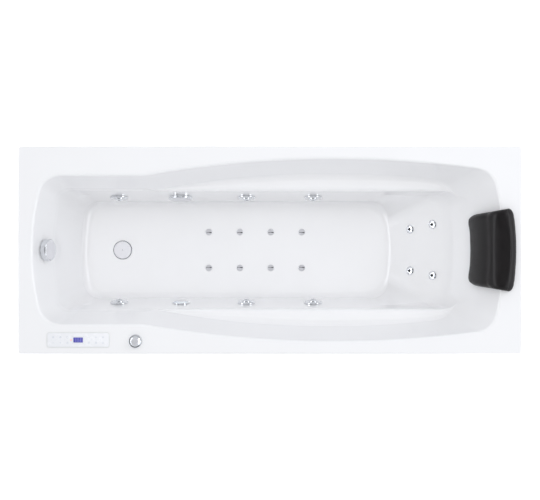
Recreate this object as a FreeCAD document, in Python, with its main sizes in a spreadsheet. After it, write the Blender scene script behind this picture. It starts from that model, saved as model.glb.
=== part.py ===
"""Jetted bathtub: a moulded shell with water jets, air jets, a pump and a blower on a steel frame.

Row frame: X runs along the tub (foot end -X, head end +X), +Y is the back, Z is up.
The origin is at the middle of the footprint, on the floor.  All sizes are millimetres.
"""
import FreeCAD, Part
import math
import os
import re
import Sketcher

doc = FreeCAD.newDocument("jetted_bathtub")
V = FreeCAD.Vector
UP = V(0, 0, 1)

SIZES = {
    # overall
    "tub_length": 1700, "tub_width": 700, "rim_height": 590, "floor_height": 180,
    "shell_thickness": 6, "skirt_height": 35, "rim_corner_radius": 9, "rim_edge_radius": 5,
    # rim opening
    "opening_head": 790, "opening_foot": 803, "opening_half_width": 251.6,
    "side_arc_radius": 3600, "side_arc_centre": 213, "side_arc_half_width": 309,
    "side_blend_radius": 300, "head_arc_centre": 150, "foot_arc_radius": 850,
    "opening_corner_radius": 75, "opening_lip_radius": 12,
    # upper pocket, from the rim down to the armrest ledge
    "ledge_height": 430, "ledge_backing": 12, "upper_side_draft": 16, "upper_head_draft": 32.9,
    "upper_foot_draft": 17, "ledge_head_corner": 120, "ledge_cove_radius": 25,
    "ledge_nose_radius": 16, "ledge_foot_end": 330, "ledge_head_end": 575,
    # lower pocket, down to the floor
    "floor_half_width": 178, "floor_head": 444, "floor_foot": 700, "lower_side_draft": 7.07,
    "floor_corner_radius": 62, "floor_cove_radius": 40, "backrest_break_height": 350,
    "backrest_upper_draft": 28,
    "lower_top_height": 470,
    # water jets on the side walls
    "jet_height": 310, "jet_foot": 549, "jet_middle": 86, "jet_head": 157,
    "jet_ring_radius": 32.5, "jet_ring_height": 8, "jet_ring_bevel": 3, "jet_hole_radius": 24,
    "jet_nut_radius": 33, "jet_nut_height": 10,
    "jet_chamber_radius": 25, "jet_chamber_depth": 56,
    "nozzle_radius": 16, "nozzle_bore": 6.5, "nozzle_nose_radius": 11, "nozzle_front": 11,
    "nozzle_back": 17, "nozzle_centre": 4,
    "water_pipe_radius": 16, "water_pipe_height": 318,
    "air_pipe_radius": 10, "air_pipe_height": 288, "air_pipe_foot": 762,
    "air_drop_radius": 8, "socket_wall": 3,
    # air jets in the floor and the backrest
    "floor_jet_pitch": 116.6, "floor_jet_head": 119.6, "floor_jet_side": 67.5,
    "floor_jet_radius": 12.5, "floor_jet_dome": 3.4,
    "floor_jet_stem": 8, "floor_jet_stem_length": 22,
    "back_jet_low": 247, "back_jet_low_side": 77, "back_jet_high": 310, "back_jet_high_side": 93,
    "back_jet_radius": 16.5, "back_jet_height": 6, "back_jet_stem": 11,
    "back_jet_stem_length": 26, "back_pipe_radius": 9,
    # suction fitting and light, opposite each other
    "suction_place": 325, "suction_radius": 42.5, "suction_dome": 12,
    "suction_neck_radius": 30, "suction_pipe_radius": 20,
    "light_radius": 32, "light_lens_radius": 26, "light_bezel": 5, "light_neck_radius": 24,
    "light_depth": 45,
    # drain and overflow
    "drain_place": 555, "drain_radius": 36, "drain_flange": 2.5, "drain_throat_radius": 23,
    "drain_hole_radius": 26, "plug_radius": 33, "plug_height": 5, "plug_gap": 0.4,
    "plug_stem_radius": 5, "plug_stem_length": 34,
    "overflow_drop": 80, "overflow_pipe_place": 795, "overflow_radius": 38, "overflow_depth": 20, "overflow_plate": 3,
    "overflow_neck_radius": 24, "overflow_hole_radius": 26, "overflow_body_depth": 34,
    "overflow_pipe_radius": 13, "waste_pipe_radius": 20, "waste_floor": 52,
    # controls on the front rim
    "keypad_place": 647, "keypad_side": 303.5, "keypad_length": 213, "keypad_width": 52,
    "keypad_height": 3.5, "keypad_corner": 8, "keypad_body_depth": 22, "display_length": 33,
    "display_width": 18, "display_height": 0.6, "led_radius": 1.6, "led_place": 671,
    "air_knob_place": 453.6, "air_knob_side": 307.5, "air_knob_radius": 23,
    "air_knob_height": 26, "air_knob_top_radius": 15, "air_knob_stem": 6,
    "air_valve_depth": 60, "air_valve_hole": 15,
    # head cushion
    "pillow_angle": 8.6, "pillow_lower_edge": 455, "pillow_overhang": 40, "pillow_depth": 34,
    "pillow_crest": 36, "pin_radius": 6, "pin_length": 26, "pin_ring_radius": 972,
    "pin_turn": 4.58,
    # base board and frame
    "board_thickness": 16, "board_head": 430, "board_foot": 470, "board_half_width": 150,
    "tube_size": 30, "rail_side": 325, "rail_end": 826, "rail_top": 158,
    "cross_rail_foot": 330, "cross_rail_head": 415, "shelf_thickness": 3, "post_foot": 780, "post_middle": 210,
    "post_head": 560, "foot_place": 640, "foot_side": 325, "foot_flats": 42,
    "foot_pad_height": 14, "stud_radius": 6, "stud_length": 118, "foot_nut_flats": 19,
    "foot_nut_height": 10,
    # pump under the backrest
    "pump_place": 716, "pump_height": 228, "motor_radius": 56, "motor_front": 134,
    "motor_back": 86, "cowl_depth": 30, "cowl_wall": 2, "volute_radius": 66,
    "volute_depth": 58, "volute_wall": 5, "impeller_radius": 46, "impeller_depth": 22,
    "blade_count": 6, "blade_thickness": 3, "hub_radius": 13, "shaft_radius": 8,
    "fan_radius": 44, "fan_depth": 14, "pump_foot_width": 96, "pump_foot_length": 150,
    # blower and control box on the front side
    "blower_place": 370, "blower_side": 258, "blower_radius": 58, "blower_height": 120,
    "blower_wall": 3, "blower_fan_radius": 46, "blower_fan_depth": 30, "blower_motor_radius": 30,
    "blower_lid": 8, "box_head": 640, "box_foot": 492, "box_side": 205, "box_depth": 98,
    "box_height": 108, "box_lid": 6,
    # clearances
    "running_gap": 0.3, "seat_gap": 0.3,
}

sheet = doc.addObject("Spreadsheet::Sheet", "Sizes")
for row, (name, number) in enumerate(SIZES.items(), start=1):
    sheet.set("A%d" % row, name)
    sheet.set("B%d" % row, str(number))
    sheet.setAlias("B%d" % row, name)
doc.recompute()


class Sheet:
    """The sheet's cells as plain numbers."""

    def __getattr__(self, name):
        return float(getattr(sheet, name))


d = Sheet()
parts = []


def bound(text):
    """A formula in the sheet's names, as an expression of the document."""
    return re.sub(r"[a-z]\w*(?!\w*\()", lambda word: "Sizes." + word.group(0), text)


def value(text):
    """A formula's number now."""
    return float(sheet.evalExpression(bound(text)))


def keep(item, label=None):
    """Name a finished sub-part and put it on the list to be written."""
    if label:
        item.Label = label
    parts.append(item)
    return item


def shaped(label, shape, placement=None, kept=True):
    """A sub-part whose form comes from code: its shape first, then its placement."""
    item = doc.addObject("Part::Feature", label)
    item.Shape = shape
    if placement is not None:
        item.Placement = placement
    return keep(item, label) if kept else item


def aimed(point, direction, spin=V(1, 0, 0)):
    """A placement with its Z along direction and its X as near spin as it can be."""
    z = V(direction).normalize()
    y = z.cross(spin).normalize()
    x = y.cross(z)
    turn = FreeCAD.Matrix(x.x, y.x, z.x, 0, x.y, y.y, z.y, 0, x.z, y.z, z.z, 0, 0, 0, 0, 1)
    return FreeCAD.Placement(point, FreeCAD.Placement(turn).Rotation)


def cylinder_at(spot, radius, start, end):
    """A plain cylinder on a spot's own Z, between two heights."""
    shape = Part.makeCylinder(radius, end - start, V(0, 0, start))
    shape.Placement = spot
    return shape


def origin_plane(body, role):
    return [item for item in body.Origin.OriginFeatures if item.Role == role][0]


def turned(label, outline):
    """A body turned about Z from a closed outline of (radius, height) formulas."""
    body = doc.addObject("PartDesign::Body", label)
    sketch = body.newObject("Sketcher::SketchObject", label + "_outline")
    sketch.AttachmentSupport = (origin_plane(body, "XZ_Plane"), [""])
    sketch.MapMode = "FlatFace"
    spots = [V(value(across), value(up), 0) for across, up in outline]
    count = len(spots)
    for i in range(count):
        sketch.addGeometry(Part.LineSegment(spots[i], spots[(i + 1) % count]), False)
    for i in range(count):
        sketch.addConstraint(Sketcher.Constraint("Coincident", i, 2, (i + 1) % count, 1))
    for i, formulas in enumerate(outline):
        for kind, formula, number in zip(("DistanceX", "DistanceY"), formulas, spots[i][0:2]):
            index = sketch.addConstraint(Sketcher.Constraint(kind, -1, 1, i, 1, number))
            if re.search("[a-z]", formula):
                sketch.setExpression("Constraints[%d]" % index, bound(formula))
    turn = body.newObject("PartDesign::Revolution", label + "_turn")
    turn.Profile = sketch
    turn.ReferenceAxis = (sketch, ["V_Axis"])
    turn.Angle = 360
    body.Tip = turn
    return body


def block(label, low, high, kept=True):
    """A box between two corners given as formulas."""
    item = doc.addObject("Part::Box", label)
    for side, near, far in zip(("Length", "Width", "Height"), low, high):
        item.setExpression(side, bound("(%s) - (%s)" % (far, near)))
    for axis, near in zip("xyz", low):
        item.setExpression("Placement.Base." + axis, bound(near))
    return keep(item, label) if kept else item


def rod(label, radius, length, placement, kept=False):
    """A cylinder along its own Z, with its sizes given as formulas."""
    item = doc.addObject("Part::Cylinder", label)
    item.setExpression("Radius", bound(radius))
    item.setExpression("Height", bound(length))
    item.Placement = placement
    return keep(item, label) if kept else item


def prism(label, sides, flats, height, placement, kept=False):
    """A regular prism along Z, for nuts and pads."""
    item = doc.addObject("Part::Prism", label)
    item.Polygon = sides
    item.setExpression("Circumradius", bound("(%s) / 2 / cos(180 / %d)" % (flats, sides)))
    item.setExpression("Height", bound(height))
    item.Placement = placement
    return keep(item, label) if kept else item


def joined(label, pieces, kept=True):
    item = doc.addObject("Part::MultiFuse", label)
    item.Shapes = pieces
    return keep(item, label) if kept else item


def carved(label, base, tools, kept=True):
    item = doc.addObject("Part::Cut", label)
    item.Base = base
    item.Tool = tools[0] if len(tools) == 1 else joined(label + "_tools", tools, False)
    return keep(item, label) if kept else item


def repeated(label, source, placements):
    """Copies of one finished form, as separate solids of one sub-part."""
    doc.recompute()
    shapes = []
    for spot in placements:
        shape = source.Shape.copy()
        shape.Placement = spot.multiply(shape.Placement)
        shapes.append(shape)
    return shaped(label, Part.makeCompound(shapes))


# ---------------------------------------------------------------------------------------------
# The moulded shell: ruled walls lofted between outlines of tangent lines and arcs, built for the
# back half and mirrored.  Each outline runs from the foot end round to the head end.
# ---------------------------------------------------------------------------------------------
TOP, FLOOR, LEDGE = d.rim_height, d.floor_height, d.ledge_height
WALL = d.shell_thickness


def slope(angle):
    return math.tan(math.radians(angle))


def arc(centre, radius, start, end, z):
    """An arc about centre from start to end, the short way round, at height z."""
    first = math.atan2(start[1] - centre[1], start[0] - centre[0])
    last = math.atan2(end[1] - centre[1], end[0] - centre[0])
    if last - first > math.pi:
        first += 2 * math.pi
    if first - last > math.pi:
        last += 2 * math.pi
    middle = (first + last) / 2
    top = V(centre[0] + radius * math.cos(middle), centre[1] + radius * math.sin(middle), z)
    return Part.Arc(V(start[0], start[1], z), top, V(end[0], end[1], z)).toShape()


def line(start, end, z):
    return Part.LineSegment(V(start[0], start[1], z), V(end[0], end[1], z)).toShape()


def common_centre(first, first_distance, second, second_distance):
    """The point at the two given distances from two centres, on the head side."""
    across, along = second[0] - first[0], second[1] - first[1]
    span = math.hypot(across, along)
    foot = (first_distance ** 2 - second_distance ** 2 + span ** 2) / (2 * span)
    rise = math.sqrt(max(first_distance ** 2 - foot ** 2, 0))
    base = (first[0] + foot * across / span, first[1] + foot * along / span)
    left = (base[0] - rise * along / span, base[1] + rise * across / span)
    right = (base[0] + rise * along / span, base[1] - rise * across / span)
    return max(left, right)


def tangent_point(centre, other, radius):
    """Where the line of two centres meets the circle of the given radius."""
    span = math.hypot(other[0] - centre[0], other[1] - centre[1])
    return (centre[0] + (other[0] - centre[0]) * radius / span,
            centre[1] + (other[1] - centre[1]) * radius / span)


def half_outline(z, foot, half_width, head, side=None):
    """Foot arc, corner, side, corner, head arc.  foot and head are (place, arc, corner)."""
    foot_x, foot_arc, foot_corner = foot
    head_x, head_arc, head_corner = head
    foot_centre = (foot_x + foot_arc, 0.0)
    reach = math.sqrt((foot_arc - foot_corner) ** 2 - (half_width - foot_corner) ** 2)
    corner = (foot_centre[0] - reach, half_width - foot_corner)
    corner_start = tangent_point(foot_centre, corner, foot_arc)
    side_start = (corner[0], half_width)
    edges = [arc(foot_centre, foot_arc, (foot_x, 0), corner_start, z),
             arc(corner, foot_corner, corner_start, side_start, z)]
    head_centre = (head_x - head_arc, 0.0)
    if side is None:
        reach = math.sqrt((head_arc - head_corner) ** 2 - (half_width - head_corner) ** 2)
        corner = (head_centre[0] + reach, half_width - head_corner)
        side_end = (corner[0], half_width)
        edges.append(line(side_start, side_end, z))
    else:
        side_centre, side_arc, blend = side
        blend_y = half_width + blend
        reach = math.sqrt((side_arc + blend) ** 2 - (blend_y - side_centre[1]) ** 2)
        blend_centre = (side_centre[0] - reach, blend_y)
        bend_start = (blend_centre[0], half_width)
        bend_end = tangent_point(side_centre, blend_centre, side_arc)
        corner = common_centre(head_centre, head_arc - head_corner,
                               side_centre, side_arc - head_corner)
        side_end = tangent_point(side_centre, corner, side_arc)
        edges.append(line(side_start, bend_start, z))
        edges.append(arc(blend_centre, blend, bend_start, bend_end, z))
        edges.append(arc(side_centre, side_arc, bend_end, side_end, z))
    corner_end = tangent_point(head_centre, corner, head_arc)
    edges.append(arc(corner, head_corner, side_end, corner_end, z))
    edges.append(arc(head_centre, head_arc, corner_end, (head_x, 0), z))
    return edges


def half_block(outlines):
    """The half solid between a stack of outlines, closed on the middle plane."""
    faces = []
    for lower, upper in zip(outlines, outlines[1:]):
        for near, far in zip(lower, upper):
            if near.Curve.TypeId == far.Curve.TypeId == "Part::GeomLine":
                ends = [near.Vertexes[0], near.Vertexes[-1], far.Vertexes[-1], far.Vertexes[0]]
                points = [end.Point for end in ends]
                faces.append(Part.Face(Part.makePolygon(points + points[:1])))
            else:
                faces.append(Part.makeRuledSurface(near, far).Faces[0])
    middle = [outline[0].Vertexes[0].Point for outline in outlines]
    middle += [outline[-1].Vertexes[-1].Point for outline in reversed(outlines)]
    faces.append(Part.Face(Part.makePolygon(middle + middle[:1])))
    for outline in (outlines[0], outlines[-1]):
        closing = Part.makeLine(outline[-1].Vertexes[-1].Point, outline[0].Vertexes[0].Point)
        faces.append(Part.Face(Part.Wire(outline + [closing])))
    shell = Part.makeShell(faces)
    shell.sewShape()
    solid = Part.makeSolid(shell.Shells[0] if shell.Shells else shell)
    if solid.Volume < 0:
        solid.reverse()
    return solid


def coved(z, bottom, start, draft, radius):
    """How far out a wall leaning by draft stands at height z, with a cove at its bottom."""
    lean, rise = math.radians(draft), z - bottom
    if rise < radius * (1 - math.sin(lean)):
        inset = radius * (1 - math.sin(lean)) / math.cos(lean)
        return start - inset + math.sqrt(max(radius ** 2 - (radius - rise) ** 2, 0))
    return start + rise * math.tan(lean)


FOOT_DRAFT = 12.56
BREAK = d.backrest_break_height
BREAK_X = 646.0
lower_head_lean = math.degrees(math.atan((BREAK_X - d.floor_head) / (BREAK - FLOOR)))


def lower_pocket(growth, levels, cove):
    """The foot well and the backrest's lower part; growth moves every wall outward."""
    bottom = FLOOR - growth
    side_draft = d.lower_side_draft
    lower_head = lower_head_lean

    def moved(start, draft):
        return start - growth * slope(draft) + growth / math.cos(math.radians(draft))

    outlines = []
    for z in levels:
        half_width = coved(z, bottom, moved(d.floor_half_width, side_draft), side_draft, cove)
        foot = coved(z, bottom, moved(d.floor_foot, FOOT_DRAFT), FOOT_DRAFT, cove)
        low = coved(z, bottom, moved(d.floor_head, lower_head), lower_head, cove)
        high_growth = growth / math.cos(math.radians(d.backrest_upper_draft))
        high = BREAK_X + (z - BREAK) * slope(d.backrest_upper_draft) + high_growth
        inset = 0.0
        if z < bottom + cove:
            inset = max(0.0, d.floor_half_width + (z - FLOOR) * slope(side_draft) - half_width)
        corner = max(d.floor_corner_radius + growth - inset, 20.0)
        head_arc = 594 + 191 * min((z - FLOOR) / (BREAK - FLOOR), 1) + 0.5 * max(z - BREAK, 0)
        foot_arc = 747 + 0.2 * (z - FLOOR)
        outlines.append(half_outline(z, (-foot, foot_arc, corner), half_width,
                                     (min(low, high), head_arc, corner)))
    return half_block(outlines)


def upper_pocket(growth, bottom, levels, cove, lip):
    """From the ledge up to the rim opening, with a cove below and a rolled lip above."""

    def inset(z, draft):
        lean, drop, rise = math.radians(draft), TOP - z, z - bottom
        total = drop * math.tan(lean) - growth / math.cos(lean)
        rounding = 0.0
        if rise < cove * (1 - math.sin(lean)):
            wall = rise * math.tan(lean) + cove * (1 - math.sin(lean)) / math.cos(lean)
            rounding += wall - math.sqrt(max(cove ** 2 - (cove - rise) ** 2, 0))
        if drop < lip * (1 + math.sin(lean)):
            wall = lip * (1 + math.sin(lean)) / math.cos(lean) + drop * math.tan(lean)
            rounding -= wall - math.sqrt(max(lip ** 2 - (lip - drop) ** 2, 0))
        return total + rounding, rounding

    outlines = []
    for z in levels:
        side, side_round = inset(z, d.upper_side_draft)
        head, head_round = inset(z, d.upper_head_draft)
        foot, foot_round = inset(z, d.upper_foot_draft)
        fall = max(0.0, min((TOP - z) / (TOP - LEDGE), 1.0))
        head_corner = d.opening_corner_radius + growth - head_round
        head_corner += (d.ledge_head_corner - d.opening_corner_radius) * fall
        foot_corner = d.opening_corner_radius + growth - side_round
        side_centre = (d.side_arc_centre, d.side_arc_half_width - d.side_arc_radius)
        outlines.append(half_outline(
            z, (foot - d.opening_foot, d.foot_arc_radius - foot, foot_corner),
            d.opening_half_width - side,
            (d.opening_head - head, d.opening_head + d.head_arc_centre - head, head_corner),
            (side_centre, d.side_arc_radius - side, d.side_blend_radius + side)))
    return half_block(outlines)


def risen(bottom, radius, angles):
    return [bottom + radius * (1 - math.cos(math.radians(angle))) for angle in angles]


cove, nook, lip = d.floor_cove_radius, d.ledge_cove_radius, d.opening_lip_radius
lower_levels = risen(FLOOR, cove, (0, 90 - lower_head_lean, 62, 90 - d.lower_side_draft))
lower_levels += [BREAK, d.lower_top_height]
upper_levels = risen(LEDGE, nook, (0, 45, 74))
upper_levels += [TOP - lip * (1 + math.sin(math.radians(d.upper_side_draft)))]
upper_levels += [TOP - lip + lip * math.sin(math.radians(lean)) for lean in (25, 65)] + [TOP]
inside = upper_pocket(0, LEDGE, upper_levels, nook, lip)
inside = inside.fuse(lower_pocket(0, lower_levels, cove))
under_ledge = LEDGE - d.ledge_backing
under_lip = TOP - lip * (1 + math.sin(math.radians(d.upper_head_draft)))
outside = upper_pocket(WALL, under_ledge, [under_ledge, under_lip, TOP - WALL], 0, lip)
outside = outside.fuse(lower_pocket(WALL, [FLOOR - WALL, BREAK - WALL, d.lower_top_height], 0))

# a rounded nose along the wide part of the armrest ledge
ledge_side = d.floor_half_width + (LEDGE - FLOOR) * slope(d.lower_side_draft)


def nose_section(x, radius):
    """The sliver between the ledge's sharp edge and its rounding, across the tub at x."""
    lean = math.radians(d.lower_side_draft)
    reach = radius / math.tan(math.pi / 4 + lean / 2)
    down, inward = -reach * math.cos(lean), -reach * math.sin(lean)
    spread = (math.pi / 2 - lean) / 2
    centre = V(x, ledge_side + reach, LEDGE - radius)
    middle = centre + V(0, -radius * math.sin(spread), radius * math.cos(spread))
    edge = V(x, ledge_side, LEDGE)
    flat_end, wall_end = V(x, ledge_side + reach, LEDGE), V(x, ledge_side + inward, LEDGE + down)
    above, beside = flat_end + V(0, 0, 0.5), wall_end + V(0, -0.5, 0)
    corner = edge + V(0, -0.5, 0.5)
    return Part.Wire([Part.Arc(wall_end, middle, flat_end).toShape(),
                      Part.makeLine(flat_end, above), Part.makeLine(above, corner),
                      Part.makeLine(corner, beside), Part.makeLine(beside, wall_end)])


nose_start = 130 - d.ledge_foot_end
nose = Part.Face(nose_section(nose_start, d.ledge_nose_radius)).extrude(
    V(d.ledge_head_end - 20 - nose_start, 0, 0))
inside = inside.fuse(nose)

# the rim: a plate with rounded corners and edge, hollow below and open towards the middle plane
half_length, half_width = d.tub_length / 2, d.tub_width / 2
skirt_bottom = TOP - d.skirt_height
SKIRT = 5.0
plate = Part.makeBox(d.tub_length, half_width * 2, d.skirt_height,
                     V(-half_length, -half_width, skirt_bottom))
uprights = [edge for edge in plate.Edges if edge.BoundBox.ZLength > d.skirt_height - 1]
plate = plate.makeFillet(d.rim_corner_radius, uprights)
brim = [edge for edge in plate.Edges if edge.BoundBox.ZMin > TOP - 0.01]
plate = plate.makeFillet(d.rim_edge_radius, brim)
hollow = Part.makeBox(d.tub_length - 2 * SKIRT, d.tub_width - 2 * SKIRT, d.skirt_height,
                      V(SKIRT - half_length, SKIRT - half_width, skirt_bottom - WALL))
hollow = hollow.makeFillet(d.rim_corner_radius - SKIRT,
                           [edge for edge in hollow.Edges if edge.BoundBox.ZLength > 30])
back_half = Part.makeBox(2 * half_length, half_width + 1, TOP + 20, V(-half_length, 0, 0))
half_rim = plate.cut(hollow).common(back_half)

# the cushion's two pins go through the flat of the rim, on one circle about the backrest's axis
gap = d.seat_gap
pillow_axis = -d.head_arc_centre
pin_turn = math.radians(d.pin_turn)
pin_spots = [aimed(V(pillow_axis + d.pin_ring_radius * math.cos(turn),
                     d.pin_ring_radius * math.sin(turn), TOP), UP)
             for turn in (-pin_turn, pin_turn)]
half_rim = half_rim.cut(cylinder_at(pin_spots[1], d.pin_radius + gap, -d.skirt_height, 3))
half_shell = half_rim.fuse(outside).cut(inside)
moulding = half_shell.fuse(half_shell.mirror(V(0, 0, 0), V(0, 1, 0))).removeSplitter()

# ---------------------------------------------------------------------------------------------
# Places on the walls: each has its Z along the wall's normal, into the tub
# ---------------------------------------------------------------------------------------------
SIDE_LEAN = math.radians(d.lower_side_draft)


def side_spot(x, side):
    """On the long wall at x, at the height of the jets; side is +1 at the back, -1 in front."""
    y = side * (d.floor_half_width + (d.jet_height - FLOOR) * math.tan(SIDE_LEAN))
    return aimed(V(x, y, d.jet_height), V(0, -side * math.cos(SIDE_LEAN), math.sin(SIDE_LEAN)))


def back_spot(z, y):
    """On the lower backrest, which is part of a cone that opens upward."""
    rise = (z - FLOOR) / (BREAK - FLOOR)
    head = d.floor_head + (BREAK_X - d.floor_head) * rise
    radius = 594 + 191 * rise
    centre = head - radius
    turn = math.asin(y / radius)
    widening = 191 / (BREAK - FLOOR)
    drift = (BREAK_X - d.floor_head - 191) / (BREAK - FLOOR)
    normal = V(-math.cos(turn), -math.sin(turn), widening + drift * math.cos(turn))
    return aimed(V(centre + radius * math.cos(turn), y, z), normal, V(0, 1, 0))


FOOT_LEAN = math.radians(d.upper_foot_draft)
overflow_place = V(d.overflow_drop * math.tan(FOOT_LEAN) - d.opening_foot, 0, TOP - d.overflow_drop)
overflow_spot = aimed(overflow_place, V(math.cos(FOOT_LEAN), 0, math.sin(FOOT_LEAN)), V(0, 1, 0))
drain_spot = aimed(V(-d.drain_place, 0, FLOOR), UP)
side_jets = [(x, side) for side in (1, -1) for x in (-d.jet_foot, -d.jet_middle, d.jet_head)]
side_jet_spots = [side_spot(x, side) for x, side in side_jets]
floor_jets = [(d.floor_jet_head - step * d.floor_jet_pitch, side * d.floor_jet_side)
              for side in (1, -1) for step in range(4)]
floor_jet_spots = [aimed(V(x, y, FLOOR), UP) for x, y in floor_jets]
back_jet_spots = [back_spot(z, side * y) for side in (1, -1)
                  for z, y in ((d.back_jet_low, d.back_jet_low_side),
                               (d.back_jet_high, d.back_jet_high_side))]
suction_spot = side_spot(-d.suction_place, 1)
light_spot = side_spot(-d.suction_place, -1)
air_knob_spot = aimed(V(-d.air_knob_place, -d.air_knob_side, TOP), UP)

through = [cylinder_at(spot, d.jet_hole_radius, -WALL - 9, 9) for spot in side_jet_spots]
through += [cylinder_at(spot, d.floor_jet_stem + gap, -WALL - 3, 3) for spot in floor_jet_spots]
through += [cylinder_at(spot, d.back_jet_stem + gap, -WALL - 12, 9) for spot in back_jet_spots]
through += [cylinder_at(suction_spot, d.suction_neck_radius, -WALL - 9, 9),
            cylinder_at(light_spot, d.light_neck_radius + gap, -WALL - 9, 9),
            cylinder_at(drain_spot, d.drain_hole_radius, -WALL - 3, 3),
            cylinder_at(overflow_spot, d.overflow_hole_radius, -WALL - 9, 9),
            cylinder_at(air_knob_spot, d.air_valve_hole, -WALL - 3, 3)]
keypad_middle = V(-d.keypad_place, -d.keypad_side, TOP)
keypad_margin = 10.0
keypad_hole = Part.makeBox(d.keypad_length - 2 * keypad_margin + 2 * gap,
                           d.keypad_width - 2 * keypad_margin + 2 * gap, 2 * WALL,
                           keypad_middle - V(d.keypad_length / 2 - keypad_margin + gap,
                                             d.keypad_width / 2 - keypad_margin + gap, WALL + 3))
shaped("tub_shell", moulding.cut(through + [keypad_hole]).Solids[0])

# ---------------------------------------------------------------------------------------------
# Water jets: screwed ring, swivelling nozzle and body behind the wall
# ---------------------------------------------------------------------------------------------
ring_outline = [("nozzle_radius + running_gap", "jet_ring_height"),
                ("jet_ring_radius - jet_ring_bevel", "jet_ring_height"),
                ("jet_ring_radius", "jet_ring_height - jet_ring_bevel"),
                ("jet_ring_radius", "seat_gap"),
                ("nozzle_radius + running_gap", "seat_gap")]
repeated("side_jet_rings", turned("jet_ring_form", ring_outline), side_jet_spots)

# a nozzle rocks on a narrow band in the ring; its nose has flats for wet fingers
axle = FreeCAD.Placement(V(0, 0, d.nozzle_centre - 1.5), FreeCAD.Rotation())
nose_end = FreeCAD.Placement(V(0, 0, d.nozzle_centre - d.nozzle_back), FreeCAD.Rotation())
spout = FreeCAD.Placement(V(0, 0, d.nozzle_centre), FreeCAD.Rotation())
nozzle_solid = joined("jet_nozzle_solid", [
    prism("jet_nozzle_band", 24, "2 * nozzle_radius * cos(180 / 24)", "3", axle),
    prism("jet_nozzle_nose", 12, "2 * nozzle_nose_radius", "nozzle_front + nozzle_back",
          nose_end)], False)
nozzle_bore = prism("jet_nozzle_bore", 12, "2 * nozzle_bore", "nozzle_front + 1", spout)
nozzle_form = carved("jet_nozzle_form", nozzle_solid, [nozzle_bore], False)
for number, spot in enumerate(side_jet_spots, start=1):
    repeated("side_jet_nozzle_%d" % number, nozzle_form, [spot])

chamber_outline = [("jet_chamber_radius - 4", "-shell_thickness - seat_gap"),
                   ("jet_nut_radius", "-shell_thickness - seat_gap"),
                   ("jet_nut_radius", "-shell_thickness - seat_gap - jet_nut_height"),
                   ("jet_chamber_radius", "-shell_thickness - seat_gap - jet_nut_height"),
                   ("jet_chamber_radius", "-jet_chamber_depth"), ("0", "-jet_chamber_depth"),
                   ("0", "-nozzle_back - 5"), ("jet_chamber_radius - 4", "-nozzle_back - 5")]
repeated("side_jet_bodies", turned("jet_chamber_form", chamber_outline), side_jet_spots)
doc.recompute()


def run(radius, points):
    """Straight pipe runs that meet in square elbows, as one solid."""
    solids = []
    for number, (start, end) in enumerate(zip(points, points[1:])):
        along = V(end - start).normalize()
        before = radius if number else 0
        after = radius if number < len(points) - 2 else 0
        length = (end - start).Length + before + after
        solids.append(Part.makeCylinder(radius, length, start - along * before, along))
    return solids[0].multiFuse(solids[1:]) if len(solids) > 1 else solids[0]


def behind_chambers(height, radius):
    """How far out a pipe along the tub clears the ends of the jets' chambers."""
    end = side_jet_spots[0].multVec(V(0, 0, -d.jet_chamber_depth - gap))
    return end.y + (height - end.z) * math.tan(SIDE_LEAN) + radius / math.cos(SIDE_LEAN)


water_y = behind_chambers(d.water_pipe_height, d.water_pipe_radius)
# pressure side: the pump's wet end, up to a cross pipe and along both long sides
pump_centre = V(d.pump_place, d.motor_front, d.pump_height)
wet_outline = [(d.shaft_radius + 1, 0), (d.volute_radius, 0), (d.volute_radius, d.volute_depth),
               (d.suction_pipe_radius + gap + 4, d.volute_depth),
               (d.suction_pipe_radius + gap + 4, d.volute_depth + 14),
               (d.suction_pipe_radius + gap, d.volute_depth + 14),
               (d.suction_pipe_radius + gap, d.volute_depth - d.volute_wall),
               (d.volute_radius - d.volute_wall, d.volute_depth - d.volute_wall),
               (d.volute_radius - d.volute_wall, d.volute_wall),
               (d.shaft_radius + 1, d.volute_wall)]
wet_points = [V(radius, 0, height) for radius, height in wet_outline]
wet_end = Part.Face(Part.makePolygon(wet_points + wet_points[:1])).revolve(V(0, 0, 0), UP, 360)
wet_end.Placement = aimed(pump_centre, V(0, 1, 0))
volute_middle = d.motor_front + d.volute_depth / 2
cross_pipe = run(d.water_pipe_radius,
                 [V(-d.jet_foot - d.jet_chamber_radius, water_y, d.water_pipe_height),
                  V(d.pump_place, water_y, d.water_pipe_height),
                  V(d.pump_place, -water_y, d.water_pipe_height),
                  V(-d.jet_foot - d.jet_chamber_radius, -water_y, d.water_pipe_height)])
riser = Part.makeCylinder(d.water_pipe_radius, d.water_pipe_height - d.pump_height
                          - d.volute_radius + 4,
                          V(d.pump_place, volute_middle, d.pump_height + d.volute_radius - 4))
branches = []
for low, high in (back_jet_spots[0:2], back_jet_spots[2:4]):
    depth = d.back_jet_stem_length + gap + d.back_pipe_radius
    start, end = low.multVec(V(0, 0, -depth)), high.multVec(V(0, 0, -depth))
    climb = V(end - start).normalize()
    top = start + climb * ((d.water_pipe_height - start.z) / climb.z)
    branches.append(run(d.back_pipe_radius, [start - climb * (d.back_jet_stem + 2), top,
                                             V(d.pump_place, top.y, d.water_pipe_height)]))
shaped("pressure_pipes", wet_end.multiFuse([cross_pipe, riser] + branches))

# air side: a loop round the foot end with a drop from the air control on the rim
air_z = d.air_pipe_height
air_y = behind_chambers(air_z, d.air_pipe_radius)
loop = run(d.air_pipe_radius, [V(d.jet_head + d.jet_chamber_radius, air_y, air_z), V(-d.air_pipe_foot, air_y, air_z),
                               V(-d.air_pipe_foot, -air_y, air_z),
                               V(d.jet_head + d.jet_chamber_radius, -air_y, air_z)])
valve_bottom = TOP - WALL - d.air_valve_depth
drop = run(d.air_drop_radius, [V(-d.air_knob_place, -d.air_knob_side, valve_bottom + 8),
                               V(-d.air_knob_place, -d.air_knob_side, air_z),
                               V(-d.air_knob_place, -air_y, air_z)])
shaped("venturi_air_pipes", loop.fuse(drop))

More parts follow.
